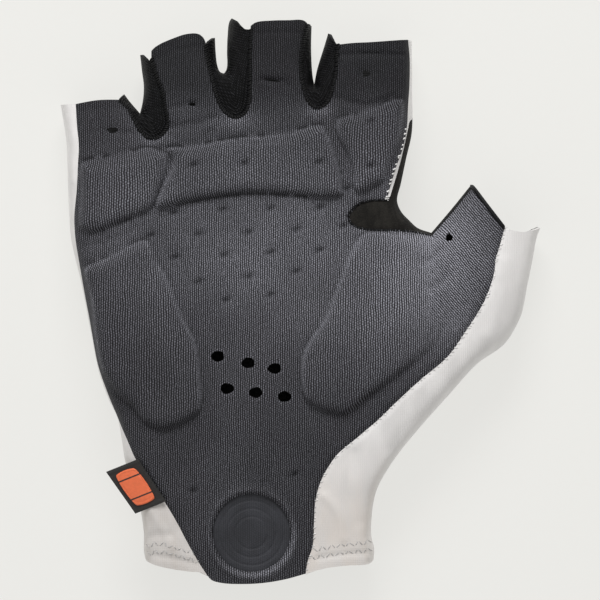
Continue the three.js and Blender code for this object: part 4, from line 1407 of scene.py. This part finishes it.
def label_place(along, across):
    """Plan of the label tab: shares along its seam and outwards from it."""
    inner_top, inner_low, outer_low, outer_top = on_glove(LABEL_CORNERS)
    along = np.asarray(along)[..., None]
    across = np.asarray(across)[..., None]
    inner = inner_top * (1 - along) + inner_low * along
    outer = outer_top * (1 - along) + outer_low * along
    return inner * (1 - across) + outer * across


def label_height(along, across, lift):
    """Height of the label's surface, which slopes down outwards and curls a little at its free end."""
    slope, clear, curl = 2.6, 0.45, 0.35
    grid = np.linspace(0, 1, 7)
    u, v = np.meshgrid(grid, grid)
    under = sheets().surface(label_place(u, v).reshape(-1, 2)) + slope * v.ravel()
    rest = under.max() + clear
    return rest - slope * across + curl * across ** 2 * np.cos(along * math.pi) + lift


def label_tape():
    """The woven tab, hemmed along both sides and at its free end."""
    columns, rows = 48, 36
    tucked = -0.04
    u, v = (grid.ravel() for grid in np.meshgrid(np.linspace(0, 1, columns), np.linspace(tucked, 1, rows)))
    side_hem = 0.16 * bell(np.minimum(u, 1 - u) - 0.05, 0.03)
    end_hem = 0.12 * bell(v - 0.96, 0.03)
    verts = np.column_stack([label_place(u, v), label_height(u, v, side_hem + end_hem)])
    faces = [((r + 1) * columns + c, (r + 1) * columns + c + 1, r * columns + c + 1, r * columns + c)
             for r in range(rows - 1) for c in range(columns - 1)]
    weave = np.column_stack([u * TAB_LENGTH, v * TAB_DEPTH, v * 0])
    tape = object_from("label_tape_cloth", verts, faces, weave)
    thicken(tape, TAPE_CLOTH)
    clad(tape, tape_woven(), "tape_woven")
    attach(tape, "root")
    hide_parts("label_tape")


def rounded(swing, half):
    """One coordinate of a rectangle with round corners, from the cosine or sine of the turn round it."""
    return np.clip(swing * 1.35, -1, 1) * (half - PATCH_CORNER) + swing * PATCH_CORNER


def label_patch():
    """The satin patch on the tab, pressed in round its border and turned down at its edge."""
    lift = 0.5
    turn = np.linspace(0, 2 * math.pi, 96, endpoint=False)
    outline = np.stack([rounded(np.cos(turn), PATCH_LENGTH / 2), rounded(np.sin(turn), PATCH_WIDTH / 2)], 1)
    rings = []
    weave = []
    for reach in PATCH_RINGS:
        spot = outline * reach
        along = 0.5 + spot[:, 0] / TAB_LENGTH
        across = 0.5 + spot[:, 1] / TAB_DEPTH
        border = -0.12 * bell(reach - 0.86, 0.03)
        edge = -0.35 * max(0.0, (reach - 0.94) / 0.06) ** 2
        height = label_height(along, across, lift + border + edge)
        rings.append(np.column_stack([label_place(along, across), height]))
        weave.append(np.column_stack([spot, np.full(len(turn), reach)]))
    faces = ring_faces(len(rings), len(turn))
    patch = object_from("label_patch_cloth", np.concatenate(rings), faces, np.concatenate(weave))
    thicken(patch, PATCH_CLOTH)
    clad(patch, patch_satin(), "patch_woven")
    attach(patch, "root")
    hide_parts("label_patch")


# Operators: one for each piece or group of like pieces, and one for the stage

class GLOVE_OT_palm(bpy.types.Operator):
    """Cuts the padded palm panel with its pads, dimples, creases and holes"""

    bl_idname = "glove.palm"
    bl_label = "Palm panel"

    def execute(self, context):
        palm = panel("palm_panel")
        clad(palm, palm_knit(), "palm_knit")
        return {"FINISHED"}


class GLOVE_OT_back(bpy.types.Operator):
    """Cuts the satin back, which wraps round both sides"""

    bl_idname = "glove.back"
    bl_label = "Back panel"

    def execute(self, context):
        back = panel("back_panel")
        clad(back, back_satin(), "back_stretch")
        return {"FINISHED"}


class GLOVE_OT_strips(bpy.types.Operator):
    """Cuts the three mesh strips between the fingers"""

    bl_idname = "glove.strips"
    bl_label = "Finger strips"

    def execute(self, context):
        material = strip_mesh()
        for name in STRIP_FIELDS:
            strip = panel(name)
            clad(strip, material, "strip_mesh")
            width, length, area = STRIP_CUTS[name]
        return {"FINISHED"}


class GLOVE_OT_gusset(bpy.types.Operator):
    """Cuts the suede gusset at the thumb"""

    bl_idname = "glove.gusset"
    bl_label = "Thumb gusset"

    def execute(self, context):
        gusset = panel("thumb_gusset")
        clad(gusset, gusset_suede(), "gusset_suede")
        return {"FINISHED"}


class GLOVE_OT_disc(bpy.types.Operator):
    """Sets the round grip disc into the heel of the palm"""

    bl_idname = "glove.disc"
    bl_label = "Heel disc"

    def execute(self, context):
        under_palm, sunk, groove_depth, edge_drop = 0.5, 0.65, 0.16, 0.3
        grooves = 5
        centre = on_glove([DISC_AT])[0]
        turn = np.linspace(0, 2 * math.pi, 96, endpoint=False)
        circle = np.stack([np.cos(turn), np.sin(turn)], 1) * (DISC_REACH * PIXEL + under_palm)
        rings = []
        for reach in [0.02] + [k / 44 for k in range(2, 43)] + [0.985, 1.0]:
            flat = centre + circle * reach
            height = sheets().plain(flat) - sunk
            if 0.25 < reach < 0.96:
                height -= groove_depth * max(0.0, math.cos(2 * math.pi * reach * grooves)) ** 3
            if reach == 1.0:
                height -= edge_drop
            rings.append(np.column_stack([flat, height]))
        faces = [face[::-1] for face in ring_faces(len(rings), len(turn))]
        disc = object_from("heel_disc_pad", np.concatenate(rings), faces)
        thicken(disc, DISC_CLOTH)
        clad(disc, disc_rubber(), "disc_rubber")
        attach(disc, "root")
        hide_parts("heel_disc")
        return {"FINISHED"}


class GLOVE_OT_label(bpy.types.Operator):
    """Sews the label tab with its bright patch into the outer seam"""

    bl_idname = "glove.label"
    bl_label = "Label tab"

    def execute(self, context):
        label_tape()
        label_patch()
        return {"FINISHED"}


class GLOVE_OT_threads(bpy.types.Operator):
    """Sews dark binding at the fingers and thumb, pale stitches at the sides and zigzags at the cuff"""

    bl_idname = "glove.threads"
    bl_label = "Threads"

    def execute(self, context):
        black = thread("thread_black", BLACK_THREAD)
        white = thread("thread_white", WHITE_THREAD)
        grey = thread("thread_grey", GREY_THREAD)
        for name, seam in (
            ("binding_little_ring", PALM_LITTLE_RING), ("binding_ring_middle", PALM_RING_MIDDLE),
            ("binding_middle_index", PALM_MIDDLE_INDEX),
        ):
            plan = stitches_across(seam, pitch=0.62, length=1.25, slant=0.45, shift=0.2, uneven=0.2, seed=4)
            sewn(name, *tubes(laid(plan, lift=0.16, arch=0.3), radius=0.31), black, "strip_mesh")
        plan = stitches_across(LENS_TOP + LENS_BOTTOM[1:], pitch=0.5, length=0.6, slant=0.3, shift=0.2,
                               uneven=0.15, seed=6)
        sewn("binding_gusset", *tubes(laid(plan, lift=0.08, arch=0.15), radius=0.22), black, "gusset_suede")
        mouth, faces = tubes(laid(smooth_line(THUMB_MOUTH[0], 0.6)[None], lift=0.02), radius=0.6, sides=10)
        side, more = tubes(laid(smooth_line(PALM_THUMB_SEAM, 0.6)[None], lift=-0.05), radius=0.36, sides=10)
        faces += [tuple(k + len(mouth) for k in face) for face in more]
        sewn("binding_thumb", np.concatenate([mouth, side]), faces, black, "gusset_suede")
        plan = stitches_across(PALM_INNER_SEAM, pitch=1.5, length=0.7, slant=0.6, shift=-0.25, uneven=0.5,
                               seed=9)
        sewn("seam_thumb_side", *tubes(laid(plan, lift=0.05, arch=0.15), radius=0.17), white, "back_stretch")
        plan = stitches_across(PALM_INDEX_SEAM[4:], pitch=1.6, length=0.5, slant=1.1, shift=0.3, uneven=0.4,
                               seed=11)
        stitches = tubes(laid(plan, lift=0.03, arch=0.12), radius=0.24, sides=8, pinch=0.6)
        sewn("seam_index_side", *stitches, white, "back_stretch")
        rows = [laid(zigzag(row, pitch=1.35, width=1.4, seed=21), lift=0.02, arch=0.12) for row in CUFF_ROWS]
        sewn("cuff_zigzag", *tubes(np.concatenate(rows), radius=0.13), grey, "back_stretch")
        return {"FINISHED"}


def add_light(name, place, size, power):
    """A soft square light that faces the middle of the glove."""
    lamp = bpy.data.lights.new(name, "AREA")
    lamp.size = size
    lamp.energy = power
    light = bpy.data.objects.new(name, lamp)
    bpy.context.scene.collection.objects.link(light)
    light.location = place
    light.rotation_euler = (-Vector(place)).to_track_quat("-Z", "Y").to_euler()


class GLOVE_OT_stage(bpy.types.Operator):
    """Lays the pale floor, sets the lights and aims the camera straight down"""

    bl_idname = "glove.stage"
    bl_label = "Floor, lights and camera"

    def execute(self, context):
        self.lay_floor(context)
        self.light(context)
        self.aim(context)
        return {"FINISHED"}

    def lay_floor(self, context):
        """A floor that is partly lit and partly glows, so that the glove's shadow on it stays faint."""
        colours = context.scene.glove_colours
        bpy.ops.mesh.primitive_plane_add(size=6)
        floor = context.object
        floor.name = "floor"
        made = Shades("floor")
        grain = made.noise(made.place(), 0.4)
        tint = made.mixed(grain, shade(colours.floor, 0.165), shade(colours.floor, 0.175))
        floor.data.materials.append(made.finish(tint, 0.95, **{"Emission Strength": 0.825}))
        made.shader.inputs["Emission Color"].default_value = (*colours.floor, 1.0)

    def light(self, context):
        """Soft light all round, a key light from above the fingers and a fill from the wrist's outer side."""
        world = bpy.data.worlds.new("studio")
        world.use_nodes = True
        sky = world.node_tree.nodes["Background"]
        sky.inputs["Color"].default_value = (1.0, 0.995, 0.98, 1.0)
        sky.inputs["Strength"].default_value = 0.46
        context.scene.world = world
        add_light("key", place=(-0.03, 0.62, 0.5), size=0.34, power=4.6)
        add_light("fill", place=(-0.5, -0.4, 0.9), size=0.8, power=1.2)

    def aim(self, context):
        """A camera straight above the photograph's middle, which sees its full width at the seams."""
        reach, seam_height = 1.5, 0.014
        middle = on_glove([(PHOTO_SIZE / 2, PHOTO_SIZE / 2)])[0] * MM
        lens = bpy.data.cameras.new("camera")
        camera = bpy.data.objects.new("camera", lens)
        context.scene.collection.objects.link(camera)
        camera.location = (middle[0], middle[1], seam_height + reach)
        lens.sensor_width = 36
        lens.lens = lens.sensor_width * reach / (PHOTO_SIZE * PIXEL * MM)
        context.scene.camera = camera
        context.scene.view_settings.view_transform = "Standard"


class GLOVE_PT_panel(bpy.types.Panel):
    """Sizes, colours and steps of the glove"""

    bl_idname = "GLOVE_PT_panel"
    bl_label = "Cycling Glove"
    bl_space_type = "VIEW_3D"
    bl_region_type = "UI"
    bl_category = "Glove"

    def draw(self, context):
        for group in (context.scene.glove_form, context.scene.glove_colours):
            box = self.layout.box()
            for key in group.__annotations__:
                box.prop(group, key)
        for step in STEPS:
            self.layout.operator(step.bl_idname)


STEPS = (
    GLOVE_OT_stage, GLOVE_OT_palm, GLOVE_OT_back, GLOVE_OT_strips, GLOVE_OT_gusset, GLOVE_OT_disc,
    GLOVE_OT_label, GLOVE_OT_threads,
)
CLASSES = (GloveForm, GloveColours, *STEPS, GLOVE_PT_panel)


def register():
    for made in CLASSES:
        bpy.utils.register_class(made)
    bpy.types.Scene.glove_form = bpy.props.PointerProperty(type=GloveForm)
    bpy.types.Scene.glove_colours = bpy.props.PointerProperty(type=GloveColours)


def unregister():
    del bpy.types.Scene.glove_colours
    del bpy.types.Scene.glove_form
    for made in reversed(CLASSES):
        bpy.utils.unregister_class(made)


def main():
    register()
    for step in STEPS:
        group, action = step.bl_idname.split(".")
        getattr(getattr(bpy.ops, group), action)()


if __name__ == "__main__":
    main()
